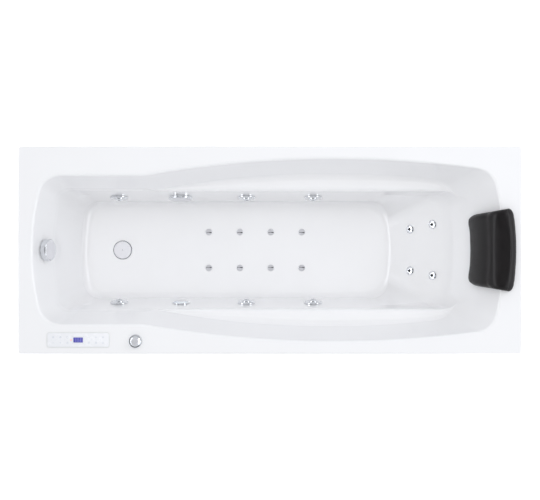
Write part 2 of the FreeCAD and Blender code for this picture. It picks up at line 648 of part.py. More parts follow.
# ---------------------------------------------------------------------------------------------
# Suction fitting and light, opposite each other
# ---------------------------------------------------------------------------------------------
grille_form = turned("suction_grille_form", [("0", "suction_dome"),
                                             ("suction_radius * 0.75", "suction_dome"),
                                             ("suction_radius * 0.75", "suction_dome / 2"),
                                             ("suction_radius", "suction_dome / 2"),
                                             ("suction_radius", "seat_gap"), ("0", "seat_gap")])
repeated("suction_grille", grille_form, [suction_spot])

stub = cylinder_at(suction_spot, d.suction_neck_radius + 6, -45, -WALL - gap)
drop_x = -d.suction_place
inlet_y = d.motor_front + d.volute_depth + 3
suction_y = d.motor_front + d.volute_depth + 14 + 1 + d.suction_pipe_radius
suction_run = run(d.suction_pipe_radius,
                  [V(drop_x, suction_y, d.jet_height - 6), V(drop_x, suction_y, d.pump_height),
                   V(d.pump_place, suction_y, d.pump_height),
                   V(d.pump_place, inlet_y, d.pump_height)])
shaped("suction_pipe", stub.fuse(suction_run))

light_outline = [("light_lens_radius", "light_bezel"), ("light_radius", "light_bezel"),
                 ("light_radius", "seat_gap"),
                 ("light_neck_radius", "seat_gap"), ("light_neck_radius", "-light_depth"),
                 ("0", "-light_depth"), ("0", "light_bezel - 3"),
                 ("light_lens_radius", "light_bezel - 3")]
repeated("light_body", turned("light_body_form", light_outline), [light_spot])
lens_outline = [("0", "light_bezel - 3 + seat_gap"),
                ("light_lens_radius - seat_gap", "light_bezel - 3 + seat_gap"),
                ("light_lens_radius - seat_gap", "light_bezel"), ("0", "light_bezel")]
repeated("light_lens", turned("light_lens_form", lens_outline), [light_spot])

# ---------------------------------------------------------------------------------------------
# Air jets in the floor and the backrest, the blower and its pipes
# ---------------------------------------------------------------------------------------------
cap_outline = [("0", "floor_jet_dome"), ("floor_jet_radius", "floor_jet_dome"),
               ("floor_jet_radius", "seat_gap"), ("floor_jet_stem", "seat_gap"),
               ("floor_jet_stem", "-floor_jet_stem_length"), ("0", "-floor_jet_stem_length")]
repeated("floor_jet_caps", turned("floor_jet_form", cap_outline), floor_jet_spots)

header_z = FLOOR - 40
row_start = d.floor_jet_head - 3 * d.floor_jet_pitch - 16
blower_x, blower_y = d.blower_place, -d.blower_side
blower_z = d.rail_top + d.shelf_thickness + gap
feed = Part.makeBox(2 * d.air_pipe_radius, d.floor_jet_side - blower_y + 2 * d.air_pipe_radius,
                    2 * d.air_pipe_radius, V(blower_x, blower_y, header_z)
                    - V(1, 1, 1) * d.air_pipe_radius)
feed = feed.fuse(Part.makeCylinder(d.air_pipe_radius, blower_z + 2 - header_z,
                                   V(blower_x, blower_y, header_z)))
rows = [Part.makeBox(blower_x - row_start, 2 * d.air_pipe_radius, 2 * d.air_pipe_radius,
                     V(row_start, side * d.floor_jet_side - d.air_pipe_radius,
                       header_z - d.air_pipe_radius)) for side in (1, -1)]
sockets = [Part.makeCylinder(d.floor_jet_stem + gap + d.socket_wall, 28 - gap, V(x, y, header_z))
           for x, y in floor_jets]
socket_bores = [Part.makeCylinder(d.floor_jet_stem + gap, 30,
                                  V(x, y, FLOOR - d.floor_jet_stem_length - 2))
                for x, y in floor_jets]
drum = Part.makeCylinder(d.blower_radius, d.blower_height, V(blower_x, blower_y, blower_z))
drum_room = Part.makeCylinder(d.blower_radius - d.blower_wall, d.blower_height,
                              V(blower_x, blower_y, blower_z + d.blower_wall))
shaped("floor_air_header",
       feed.multiFuse(rows + [drum] + sockets).cut(socket_bores + [drum_room]))

fan_z = blower_z + d.blower_wall + 20
fan_hub = rod("blower_fan_hub", "blower_fan_radius", "3",
              FreeCAD.Placement(V(blower_x, blower_y, fan_z), FreeCAD.Rotation()))
fan_blades = []
for number in range(8):
    blade = doc.addObject("Part::Box", "blower_blade_%d" % number)
    blade.setExpression("Length", bound("blower_fan_radius - 20"))
    blade.Width = 3
    blade.setExpression("Height", bound("blower_fan_depth"))
    turn = FreeCAD.Rotation(UP, number * 45)
    blade.Placement = FreeCAD.Placement(V(blower_x, blower_y, fan_z) + turn.multVec(V(18, 4, 1)),
                                        turn)
    fan_blades.append(blade)
joined("blower_fan", [fan_hub] + fan_blades)

lid_outline = [("0", "blower_lid"), ("blower_radius + 2", "blower_lid"),
               ("blower_radius + 2", "0"), ("blower_motor_radius", "0"),
               ("blower_motor_radius", "-40"), ("shaft_radius", "-40"),
               ("shaft_radius", "3 - blower_height + blower_wall + 20"),
               ("0", "3 - blower_height + blower_wall + 20")]
blower_top = blower_z + d.blower_height + gap
repeated("blower_lid", turned("blower_lid_form", lid_outline),
         [aimed(V(blower_x, blower_y, blower_top), UP)])

face_outline = [("0", "back_jet_height"), ("back_jet_radius", "back_jet_height"),
                ("back_jet_radius", "seat_gap * 2"), ("back_jet_stem", "seat_gap * 2"),
                ("back_jet_stem", "-back_jet_stem_length"), ("0", "-back_jet_stem_length")]
repeated("back_jet_faces", turned("back_jet_form", face_outline), back_jet_spots)

# ---------------------------------------------------------------------------------------------
# Drain and overflow
# ---------------------------------------------------------------------------------------------
flange_outline = [("drain_throat_radius", "drain_flange"), ("drain_radius", "drain_flange"),
                  ("drain_radius", "seat_gap"),
                  ("drain_hole_radius - 1", "seat_gap"),
                  ("drain_hole_radius - 1", "-shell_thickness - 6"),
                  ("drain_throat_radius", "-shell_thickness - 6")]
repeated("drain_flange", turned("drain_flange_form", flange_outline), [drain_spot])
plug_outline = [("0", "drain_flange + plug_gap + plug_height"),
                ("plug_radius", "drain_flange + plug_gap + plug_height"),
                ("plug_radius", "drain_flange + plug_gap"),
                ("plug_stem_radius", "drain_flange + plug_gap"),
                ("plug_stem_radius", "-plug_stem_length"), ("0", "-plug_stem_length")]
repeated("drain_plug", turned("drain_plug_form", plug_outline), [drain_spot])

cup_top = FLOOR - WALL - gap
drain_x = -d.drain_place
cup = Part.makeCylinder(d.drain_radius, cup_top - 112, V(drain_x, 0, 112))
cup_room = Part.makeCylinder(d.drain_hole_radius, cup_top - 118, V(drain_x, 0, 118))
tail = Part.makeCylinder(d.waste_pipe_radius, 112 - d.waste_floor, V(drain_x, 0, d.waste_floor))
tail_bore = Part.makeCylinder(d.waste_pipe_radius - 3, 120 - d.waste_floor,
                              V(drain_x, 0, d.waste_floor))
box_end = -d.overflow_body_depth - WALL
overflow_box = cylinder_at(overflow_spot, d.overflow_radius - 8, box_end, -WALL - gap - 0.7)
overflow_room = cylinder_at(overflow_spot, d.overflow_neck_radius, box_end + 4, -WALL)
overflow_run = run(d.overflow_pipe_radius, [V(-d.overflow_pipe_place, 0, TOP - 104),
                                            V(-d.overflow_pipe_place, 0, 134),
                                            V(drain_x - 30, 0, 134)])
shaped("waste_pipes", cup.multiFuse([tail, overflow_box, overflow_run])
       .cut([cup_room, tail_bore, overflow_room]))

plate_outline = [("overflow_neck_radius - 8", "overflow_plate + 1.2"),
                 ("overflow_radius - 4", "overflow_plate + 1.2"),
                 ("overflow_radius - 4", "1.2"), ("overflow_neck_radius", "1.2"),
                 ("overflow_neck_radius", "-shell_thickness - 6"),
                 ("overflow_neck_radius - 8", "-shell_thickness - 6")]
repeated("overflow_plate", turned("overflow_plate_form", plate_outline), [overflow_spot])
knob_outline = [("0", "overflow_depth + 5"), ("overflow_radius", "overflow_depth + 5"),
                ("overflow_radius", "7"), ("overflow_neck_radius - 8.3", "7"),
                ("overflow_neck_radius - 8.3", "-10"), ("0", "-10")]
repeated("overflow_knob", turned("overflow_knob_form", knob_outline), [overflow_spot])


def cord(radius, points, bend=30.0):
    """A tube along straight stretches joined by bends of one radius, with flat ends."""
    solids = []
    start = points[0]
    for before, corner, after in zip(points, points[1:], points[2:]):
        arriving = V(corner - before).normalize()
        leaving = V(after - corner).normalize()
        turn = arriving.getAngle(leaving)
        reach = bend * math.tan(turn / 2)
        bend_start, bend_end = corner - arriving * reach, corner + leaving * reach
        axis = arriving.cross(leaving).normalize()
        centre = bend_start + axis.cross(arriving) * bend
        solids.append(Part.makeCylinder(radius, (bend_start - start).Length, start, arriving))
        ring = Part.Face(Part.Wire(Part.makeCircle(radius, bend_start, arriving)))
        solids.append(ring.revolve(centre, axis, math.degrees(turn)))
        start = bend_end
    leaving = V(points[-1] - start)
    solids.append(Part.makeCylinder(radius, leaving.Length, start, leaving))
    return solids[0].multiFuse(solids[1:])


shaped("plug_cable", cord(3, [V(-812, 36, 500), V(-812, 36, 157), V(-591.6, 0, 157)]))

# ---------------------------------------------------------------------------------------------
# Controls on the front rim
# ---------------------------------------------------------------------------------------------
key_length, key_width, key_top = d.keypad_length, d.keypad_width, d.keypad_height


def keypad_block(inset, low, high, corner):
    """A block centred on the keypad, inset all round, between two heights above the rim."""
    base = keypad_middle + V(inset - key_length / 2, inset - key_width / 2, low)
    solid = Part.makeBox(key_length - 2 * inset, key_width - 2 * inset, high - low, base)
    edges = [edge for edge in solid.Edges if edge.BoundBox.ZLength > high - low - 0.01]
    return solid.makeFillet(corner, edges) if corner else solid


window = Part.makeBox(d.display_length, d.display_width, 3,
                      keypad_middle + V(-d.display_length / 2, -d.display_width / 2,
                                        key_top - 0.2))
housing = keypad_block(0, gap, key_top - 0.8, d.keypad_corner)
housing = housing.fuse(keypad_block(keypad_margin, -d.keypad_body_depth, gap + 1, 0))
shaped("keypad_housing", housing)
film = keypad_block(3, key_top - 0.5, key_top, d.keypad_corner - 3)
led = Part.makeCylinder(d.led_radius, 1, V(-d.led_place, -d.keypad_side, TOP + key_top))
shaped("keypad_film", film.cut(window.copy().translated(V(0, 0, -1))).fuse(led))
pane = Part.makeBox(d.display_length - 2 * gap, d.display_width - 2 * gap, d.display_height,
                    keypad_middle + V(gap - d.display_length / 2, gap - d.display_width / 2,
                                      key_top - 0.4))
shaped("display_window", pane)

air_knob_outline = [("0", "air_knob_height"), ("air_knob_top_radius", "air_knob_height"),
                    ("air_knob_top_radius", "air_knob_height / 2"),
                    ("air_knob_radius", "air_knob_height / 2"), ("air_knob_radius", "4.5"),
                    ("air_knob_stem", "4.5"), ("air_knob_stem", "-12"), ("0", "-12")]
repeated("air_knob", turned("air_knob_form", air_knob_outline), [air_knob_spot])
valve_outline = [("air_knob_stem + running_gap", "3.8"), ("air_knob_radius", "3.8"),
                 ("air_knob_radius", "seat_gap"), ("air_valve_hole - 1", "seat_gap"),
                 ("air_valve_hole - 1", "-shell_thickness - air_valve_depth"),
                 ("air_drop_radius + seat_gap", "-shell_thickness - air_valve_depth"),
                 ("air_drop_radius + seat_gap", "-20"), ("air_knob_stem + running_gap", "-20")]
repeated("air_control_body", turned("air_control_form", valve_outline), [air_knob_spot])

# ---------------------------------------------------------------------------------------------
# Head cushion: its profile lies on the backrest and over the rim, and follows the wall's curve
# ---------------------------------------------------------------------------------------------
HEAD_LEAN = math.radians(d.upper_head_draft)


def on_wall(z, away):
    """A point of the profile by its height on the wall and its distance from the wall."""
    radius = d.opening_head - (TOP - z) * math.tan(HEAD_LEAN) - pillow_axis
    return V(radius - away * math.cos(HEAD_LEAN), 0, z + away * math.sin(HEAD_LEAN))


def cushion_profile(shrink):
    """The closed profile in the plane of the axis; shrink draws it in towards the rim's corner."""
    low, high = d.pillow_lower_edge, TOP + gap * 2
    back = [on_wall(low, gap * 3), on_wall(high + 0.1, gap * 3)]
    outer = V(d.opening_head + d.pillow_overhang - pillow_axis, 0, high)
    depth, crest = d.pillow_depth, d.pillow_crest
    tops = [outer + V(4, 0, 11), outer + V(-8, 0, 24), outer + V(-44, 0, crest),
            on_wall(TOP - 26, depth + 4), on_wall(TOP - 80, depth - 2), on_wall(low + 18, 17),
            on_wall(low + 4, 10)]
    points = [point + (back[1] - point) * shrink for point in [back[0], back[1], outer] + tops]
    floor, edge, roll_end = points[0], points[2], points[4]
    return Part.Wire([Part.makeLine(floor, points[1]), Part.makeLine(points[1], edge),
                      Part.Arc(edge, points[3], roll_end).toShape(),
                      Part.Arc(roll_end, points[5], points[6]).toShape(),
                      Part.Arc(points[6], points[7], points[8]).toShape(),
                      Part.Arc(points[8], points[9], floor).toShape()])


def swung(shape, degrees):
    """A copy turned about the backrest's own upright axis."""
    copy = shape.copy()
    copy.translate(V(pillow_axis, 0, 0))
    copy.rotate(V(pillow_axis, 0, 0), UP, degrees)
    return copy


wide = d.pillow_angle - 1.5
body = Part.Face(swung(cushion_profile(0), -wide)).revolve(V(pillow_axis, 0, 0), UP, 2 * wide)
ends = [Part.makeLoft([swung(cushion_profile(0), side * wide),
                       swung(cushion_profile(0.07), side * (wide + 0.9)),
                       swung(cushion_profile(0.26), side * d.pillow_angle)], True, True)
        for side in (-1, 1)]
pin_holes = [cylinder_at(spot, d.pin_radius + gap, -5, 14) for spot in pin_spots]
shaped("pillow", body.multiFuse(ends).cut(pin_holes))
pins = [cylinder_at(spot, d.pin_radius, 13.5 - d.pin_length, 13.5) for spot in pin_spots]
shaped("pillow_pins", Part.makeCompound(pins))

# ---------------------------------------------------------------------------------------------
# Base board, frame and levelling feet
# ---------------------------------------------------------------------------------------------
board = block("base_board_blank", ("-board_foot", "-board_half_width", "rail_top"),
              ("board_head", "board_half_width", "rail_top + board_thickness - seat_gap"), False)
clearings = [rod("base_board_hole_%d" % number, "floor_jet_stem + 8", "board_thickness + 4",
                 FreeCAD.Placement(V(x, y, d.rail_top - 2), FreeCAD.Rotation()))
             for number, (x, y) in enumerate(floor_jets, start=1)]
doc.recompute()
carved("base_board", board, clearings)

half_tube = "tube_size / 2"
rail_low = "rail_top - tube_size"
beams = []
for side in ("", "-"):
    beams.append(block("side_rail" + side,
                       ("-rail_end - %s" % half_tube, "%srail_side - %s" % (side, half_tube),
                        rail_low),
                       ("rail_end + %s" % half_tube, "%srail_side + %s" % (side, half_tube),
                        "rail_top - 0.1"), False))
    beams.append(block("end_rail" + side,
                       ("%srail_end - %s" % (side, half_tube), "-rail_side", rail_low),
                       ("%srail_end + %s" % (side, half_tube), "rail_side", "rail_top - 0.1"),
                       False))
    for place in ("-post_foot", "-post_middle", "post_head"):
        beams.append(block("post" + side + place,
                           ("%s - %s" % (place, half_tube),
                            "%srail_side - %s" % (side, half_tube), rail_low),
                           ("%s + %s" % (place, half_tube),
                            "%srail_side + %s" % (side, half_tube),
                            "rim_height - shell_thickness - seat_gap"), False))
for place in ("-cross_rail_foot", "cross_rail_head", "pump_place"):
    beams.append(block("cross_rail" + place,
                       ("%s - %s" % (place, half_tube), "-rail_side", rail_low),
                       ("%s + %s" % (place, half_tube), "rail_side", "rail_top - 0.3"), False))
beams.append(block("equipment_shelf", ("blower_place - blower_radius - 20",
                                       "-rail_side - %s" % half_tube, "rail_top - 0.1"),
                   ("box_head + 15", "-box_side + 6", "rail_top + shelf_thickness"), False))
beams.append(block("pump_shelf", ("pump_place - 52", "-motor_back - 10", "rail_top - 0.3"),
                   ("pump_place + 52", "motor_front", "rail_top + shelf_thickness"), False))
frame_blank = joined("support_frame_blank", beams, False)
cuts = [rod("shelf_hole", "air_pipe_radius + 1", "20",
            FreeCAD.Placement(V(blower_x, blower_y, d.rail_top - 8), FreeCAD.Rotation()))]
feet = [(x, y) for y in (d.foot_side, -d.foot_side) for x in (-d.foot_place, d.foot_place)]
cuts += [rod("foot_hole_%d" % number, "stud_radius + seat_gap", "tube_size + 4",
             FreeCAD.Placement(V(x, y, d.rail_top - d.tube_size - 2), FreeCAD.Rotation()))
         for number, (x, y) in enumerate(feet, start=1)]
doc.recompute()
carved("support_frame", frame_blank, cuts)

for number, (x, y) in enumerate(feet, start=1):
    name = "levelling_foot_%d" % number
    spot = FreeCAD.Placement(V(x, y, 0), FreeCAD.Rotation())
    nut_spot = FreeCAD.Placement(V(x, y, d.rail_top - d.tube_size - d.foot_nut_height - 6),
                                 FreeCAD.Rotation())
    joined(name, [prism(name + "_pad", 6, "foot_flats", "foot_pad_height", spot),
                  rod(name + "_stud", "stud_radius", "foot_pad_height + stud_length", spot),
                  prism(name + "_nut", 6, "foot_nut_flats", "foot_nut_height", nut_spot)])

# ---------------------------------------------------------------------------------------------
# Pump motor, its rotor and cowl, and the control box
# ---------------------------------------------------------------------------------------------
motor_spot = aimed(pump_centre - V(0, gap, 0), V(0, -1, 0))
motor_length = d.motor_front + d.motor_back
barrel_outline = [("shaft_radius + 1", "0"), ("motor_radius", "0"),
                  ("motor_radius", "motor_front + motor_back"),
                  ("shaft_radius + 1", "motor_front + motor_back")]
barrel = turned("motor_barrel", barrel_outline)
doc.recompute()
motor = barrel.Shape.copy()
motor.Placement = motor_spot.multiply(motor.Placement)
foot_low = d.rail_top + d.shelf_thickness + gap
foot_block = Part.makeBox(d.pump_foot_width, d.pump_foot_length, d.pump_height - d.motor_radius
                          - foot_low + 10,
                          V(d.pump_place - d.pump_foot_width / 2, -30, foot_low))
fins = []
for number in range(11):
    fin = Part.makeBox(12, motor_length - 60, 2, V(d.motor_radius - 2, 0, -1))
    fin.rotate(V(0, 0, 0), V(0, 1, 0), -number * 18 + 0)
    fin.translate(V(d.pump_place, 30 - d.motor_back, d.pump_height))
    fins.append(fin)
shaped("motor_body", motor.multiFuse([foot_block] + fins))

rotor_outline = [("0", "-impeller_depth - 14"), ("hub_radius", "-impeller_depth - 14"),
                 ("hub_radius", "-12"), ("impeller_radius", "-12"), ("impeller_radius", "-9"),
                 ("shaft_radius", "-9"), ("shaft_radius", "motor_front + motor_back + 20"),
                 ("0", "motor_front + motor_back + 20")]
rotor = turned("rotor_turned", rotor_outline)
doc.recompute()
vanes = []
for number in range(int(d.blade_count)):
    vane = Part.makeBox(d.impeller_radius - d.hub_radius, d.blade_thickness, d.impeller_depth - 3,
                        V(d.hub_radius - 2, 0, -12 - d.impeller_depth + 3))
    vane.rotate(V(0, 0, 0), UP, number * 360 / d.blade_count)
    fan = Part.makeBox(d.fan_radius, d.blade_thickness, d.fan_depth,
                       V(0, -1.5, motor_length + 4))
    fan.rotate(V(0, 0, 0), UP, number * 360 / d.blade_count)
    vanes += [vane, fan]
spinning = rotor.Shape.multiFuse(vanes)
spinning.Placement = motor_spot.multiply(spinning.Placement)
shaped("pump_rotor", spinning)

cowl_outline = [("18", "motor_front + motor_back + cowl_depth"),
                ("motor_radius", "motor_front + motor_back + cowl_depth"),
                ("motor_radius", "motor_front + motor_back + seat_gap"),
                ("motor_radius - cowl_wall", "motor_front + motor_back + seat_gap"),
                ("motor_radius - cowl_wall",
                 "motor_front + motor_back + cowl_depth - cowl_wall"),
                ("18", "motor_front + motor_back + cowl_depth - cowl_wall")]
repeated("fan_cowl", turned("fan_cowl_form", cowl_outline), [motor_spot])

box_low = "rail_top + shelf_thickness + seat_gap"
box_blank = block("control_box_blank", ("box_foot", "-box_side - box_depth", box_low),
                  ("box_head", "-box_side", box_low + " + box_height"), False)
box_room = block("control_box_room", ("box_foot + 3", "-box_side - box_depth + 3", box_low + " + 3"),
                 ("box_head - 3", "-box_side - 3", box_low + " + box_height + 1"), False)
doc.recompute()
carved("control_box", box_blank, [box_room])
block("control_box_lid", ("box_foot - 2", "-box_side - box_depth - 2",
                          box_low + " + box_height + seat_gap"),
      ("box_head + 2", "-box_side + 2", box_low + " + box_height + seat_gap + box_lid"))
box_top = d.rail_top + d.shelf_thickness + gap + d.box_height
middle_y = -d.box_side - d.box_depth / 2
cable_drop = V(-d.keypad_place, -d.keypad_side, TOP - d.keypad_body_depth - gap)
cables = [cord(3.5, [V(d.box_foot - gap, middle_y, box_top - 20),
                     V(d.box_foot - 30, middle_y, box_top - 20),
                     V(d.box_foot - 30, -d.keypad_side, 300),
                     V(-d.keypad_place, -d.keypad_side, 262), cable_drop], 20),
          cord(3.5, [V(d.box_head + gap, middle_y, box_top - 20),
                     V(d.box_head + 10, middle_y, box_top - 20),
                     V(d.box_head + 10, -70, d.pump_height),
                     V(d.pump_place - d.motor_radius - gap, -70, d.pump_height)], 7)]
shaped("control_cables", Part.makeCompound(cables))

doc.recompute()
os.makedirs("parts", exist_ok=True)
for item in doc.Objects:
    if "Invalid" in item.State or "Error" in item.State:
        raise RuntimeError("%s did not build: %s" % (item.Label, item.State))
for item in parts:
    if item.Shape.isNull() or not item.Shape.isValid():
        raise RuntimeError("%s has no valid shape" % item.Label)
    item.Shape.exportStep("parts/%s.step" % item.Label)
print("%d sub-parts written" % len(parts))
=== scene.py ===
import math

import bmesh
import bpy
import numpy as np
from bpy.props import FloatProperty, FloatVectorProperty, IntProperty, PointerProperty
from mathutils import Matrix, Vector
from mathutils.bvhtree import BVHTree


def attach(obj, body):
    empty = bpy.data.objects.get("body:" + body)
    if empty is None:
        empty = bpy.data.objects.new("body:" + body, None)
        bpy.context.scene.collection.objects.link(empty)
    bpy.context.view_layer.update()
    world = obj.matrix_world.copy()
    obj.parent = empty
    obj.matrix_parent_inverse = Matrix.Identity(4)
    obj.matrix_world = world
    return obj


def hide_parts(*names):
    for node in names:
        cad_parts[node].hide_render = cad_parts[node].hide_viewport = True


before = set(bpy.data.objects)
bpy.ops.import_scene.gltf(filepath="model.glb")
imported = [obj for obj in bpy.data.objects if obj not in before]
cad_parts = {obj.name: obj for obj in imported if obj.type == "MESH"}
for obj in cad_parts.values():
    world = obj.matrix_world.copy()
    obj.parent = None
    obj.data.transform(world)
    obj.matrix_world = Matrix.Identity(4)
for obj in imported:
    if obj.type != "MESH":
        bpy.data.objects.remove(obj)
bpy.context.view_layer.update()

bl_info = {
    "name": "Jetted bathtub",
    "version": (1, 0, 0),
    "blender": (4, 5, 0),
    "location": "3D View > Sidebar > Bathtub",
    "description": "Dresses the packed bathtub: moulded shell, jets, controls and cushion",
    "category": "Object",
}


MM = 0.001
SAME_PLACE = 1e-6           # metres within which two points of a mesh are one
NO_LENGTH = 1e-7            # metres under which an edge is none
NOISE_SPAN = (0.3, 0.7)     # the middle of a noise's range, which holds nearly all of it


# ---------------------------------------------------------------- shared helpers
def linear(code):
    """An sRGB hex colour as linear red, green, blue, alpha."""
    parts = [int(code[i:i + 2], 16) / 255 for i in (1, 3, 5)]
    return [v / 12.92 if v <= 0.04045 else ((v + 0.055) / 1.055) ** 2.4 for v in parts] + [1.0]


def node(tree, kind, settings=None, inputs=None):
    """Add a node: settings are its own attributes, inputs are sockets' values or links."""
    item = tree.nodes.new(kind)
    for name, setting in (settings or {}).items():
        setattr(item, name, setting)
    for name, source in (inputs or {}).items():
        socket = item.inputs[name]
        if isinstance(source, bpy.types.NodeSocket):
            tree.links.new(source, socket)
        else:
            socket.default_value = source
    return item


def linked(name, data):
    """An object for a mesh, curve, lamp or camera, put in the scene."""
    item = bpy.data.objects.new(name, data)
    bpy.context.collection.objects.link(item)
    return item


def finish_of(name, colour, rough, metallic=0.0, extra=None):
    """A named material with one principled shader; returns the material, tree and shader."""
    made = bpy.data.materials.new(name)
    made.use_nodes = True
    tree = made.node_tree
    shader = tree.nodes["Principled BSDF"]
    shader.inputs["Base Color"].default_value = linear(colour)
    shader.inputs["Roughness"].default_value = rough
    shader.inputs["Metallic"].default_value = metallic
    for socket, value in (extra or {}).items():
        shader.inputs[socket].default_value = value
    return made, tree, shader


def mottled(tree, shader, pair, size_mm, rough, stretch):
    """Vary colour and roughness by noise with features of a real size.

    Returns the pattern's place on the piece and its colour, for what is laid over it."""
    place = node(tree, "ShaderNodeTexCoord")
    stretched = node(tree, "ShaderNodeMapping", None, {"Vector": place.outputs["Object"],
                                                       "Scale": stretch})
    noise = node(tree, "ShaderNodeTexNoise", None,
                 {"Vector": stretched.outputs["Vector"], "Scale": 1 / (size_mm * MM),
                  "Detail": 3.0})
    ramp = node(tree, "ShaderNodeValToRGB", None, {"Fac": noise.outputs["Fac"]})
    for stop, position, shade in zip(ramp.color_ramp.elements, NOISE_SPAN, pair):
        stop.position = position
        stop.color = shade
    tree.links.new(ramp.outputs["Color"], shader.inputs["Base Color"])
    span = node(tree, "ShaderNodeMapRange", None,
                {"Value": noise.outputs["Fac"], "From Min": NOISE_SPAN[0],
                 "From Max": NOISE_SPAN[1], "To Min": rough[0], "To Max": rough[1]})
    tree.links.new(span.outputs["Result"], shader.inputs["Roughness"])
    return stretched.outputs["Vector"], ramp.outputs["Color"]


def grained(tree, shader, vector, size_mm, depth_mm, strength, kind="noise"):
    """A bump of a real feature size and depth."""
    if kind == "cells":
        texture = node(tree, "ShaderNodeTexVoronoi", {"feature": "DISTANCE_TO_EDGE"},
                       {"Vector": vector, "Scale": 1 / (size_mm * MM)})
        height = texture.outputs["Distance"]
    else:
        texture = node(tree, "ShaderNodeTexNoise", None,
                       {"Vector": vector, "Scale": 1 / (size_mm * MM), "Detail": 2.0})
        height = texture.outputs["Fac"]
    bump = node(tree, "ShaderNodeBump", None,
                {"Height": height, "Strength": strength, "Distance": depth_mm * MM})
    tree.links.new(bump.outputs["Normal"], shader.inputs["Normal"])


def mesh_piece(name, points, faces, finish, sharp=35.0):
    """A mesh object from points in millimetres, smooth but for edges over a given angle."""
    mesh = bpy.data.meshes.new(name)
    mesh.from_pydata([tuple(v * MM for v in point) for point in points], [], faces)
    mesh.materials.append(material(finish))
    work = bmesh.new()
    work.from_mesh(mesh)
    bmesh.ops.remove_doubles(work, verts=work.verts, dist=SAME_PLACE)
    bmesh.ops.dissolve_degenerate(work, edges=work.edges, dist=NO_LENGTH)
    bmesh.ops.recalc_face_normals(work, faces=work.faces)
    crease(work, sharp)
    work.to_mesh(mesh)
    work.free()
    return linked(name, mesh)


def crease(work, sharp):
    """Smooth every face, and mark the edges that turn by more than an angle."""
    for face in work.faces:
        face.smooth = True
    for edge in work.edges:
        if len(edge.link_faces) == 2:
            edge.smooth = edge.calc_face_angle(0) < math.radians(sharp)


def merged(name, items, finish):
    """Join (points, faces) pairs into one piece."""
    points, faces = [], []
    for some_points, some_faces in items:
        start = len(points)
        points += [tuple(point) for point in some_points]
        faces += [tuple(start + index for index in face) for face in some_faces]
    return mesh_piece(name, points, faces, finish)


CORNER_SHARE = 0.47         # how much of a side the rounding at one of its ends may take


def rounded(points, radii, steps):
    """A path through corner points with each corner rounded, as steps + 1 points a corner."""
    points = [np.asarray(point, float) for point in points]
    path = [points[0]]
    for index in range(1, len(points) - 1):
        before, corner, after = points[index - 1:index + 2]
        first, second = before - corner, after - corner
        reach_a, reach_b = np.linalg.norm(first), np.linalg.norm(second)
        if reach_a < 1e-6 or reach_b < 1e-6 or radii[index] <= 0:
            path += [corner] * (steps[index] + 1)
            continue
        first, second = first / reach_a, second / reach_b
        half = math.acos(max(-1.0, min(1.0, float(first @ second)))) / 2
        flat = abs(math.tan(math.pi / 2 - half))
        reach = min(radii[index] * max(flat, 0.02), CORNER_SHARE * reach_a,
                    CORNER_SHARE * reach_b)
        start, end = corner + first * reach, corner + second * reach
        weight = math.sin(half)
        for step in range(steps[index] + 1):
            t = step / steps[index] if steps[index] else 0.5
            a, b, c = (1 - t) ** 2, 2 * t * (1 - t) * weight, t ** 2
            path.append((a * start + b * corner + c * end) / (a + b + c))
    path.append(points[-1])
    return path


ROUNDING_STEPS = 4          # faces along each rounded corner of a turned piece


def turned(profile, spot, segments, radii=None, closed=False):
    """A closed surface of revolution about a spot's Z from (radius, height) corners.

    A closed profile goes back to its first corner away from the axis."""
    radii = list(radii or [0] * len(profile))
    if closed:
        profile, radii = list(profile) + [profile[0]], radii + [0]
    steps = [ROUNDING_STEPS if radius > 0 else 0 for radius in radii]
    flat = rounded([(r, z, 0) for r, z in profile], radii, steps)
    rings = [flat[0]] + [b for a, b in zip(flat, flat[1:]) if np.linalg.norm(b - a) > 1e-4]
    points, faces = [], []
    for radius, height, unused in rings:
        for k in range(segments):
            angle = 2 * math.pi * k / segments
            points.append(spot @ Vector((radius * math.cos(angle), radius * math.sin(angle),
                                         height)))
    for i in range(len(rings) - 1):
        for k in range(segments):
            j = (k + 1) % segments
            faces.append((i * segments + k, i * segments + j,
                          (i + 1) * segments + j, (i + 1) * segments + k))
    return points, faces


def aimed(point, direction, spin=(1, 0, 0)):
    """A matrix in millimetres with its Z along direction and its X near spin."""
    z = Vector(direction).normalized()
    y = z.cross(Vector(spin)).normalized()
    x = y.cross(z)
    turn = Matrix((x, y, z)).transposed().to_4x4()
    return Matrix.Translation(Vector(point)) @ turn


# ---------------------------------------------------------------- sizes shared with the part
# heights of the rim, the floor, the ledges and the backrest's change of slope
TOP, FLOOR, LEDGE, BREAK = 590.0, 180.0, 430.0, 350.0
HALF_LENGTH, HALF_WIDTH, SKIRT = 850.0, 350.0, 555.0
SIDE_FLOOR, SIDE_LEAN = 178.0, math.radians(7.07)       # long walls: half width, lean
FOOT_FLOOR, FOOT_DRAFT = 700.0, math.radians(12.56)     # foot wall under the ledges
HEAD_FLOOR, HEAD_BREAK, HEAD_DRAFT = 444, 646, math.radians(28)     # backrest
HEAD_ARC_FLOOR, HEAD_ARC_BREAK = 594, 785               # its plan radius at both heights
WELL_CORNER = 62                                        # plan radius of the well's corners
FOOT_TOP, FOOT_LEAN = 803, math.radians(17)             # foot wall above the ledges
JET_HEIGHT = 310                                        # side jets, suction and light


def side_at(z):
    """Half the basin's width at a height, under the ledges."""
    return SIDE_FLOOR + (z - FLOOR) * math.tan(SIDE_LEAN)


def side_spot(x, side):
    """A fitting's place on a long wall: its Z points into the basin."""
    return aimed((x, side * side_at(JET_HEIGHT), JET_HEIGHT),
                 (0, -side * math.cos(SIDE_LEAN), math.sin(SIDE_LEAN)))


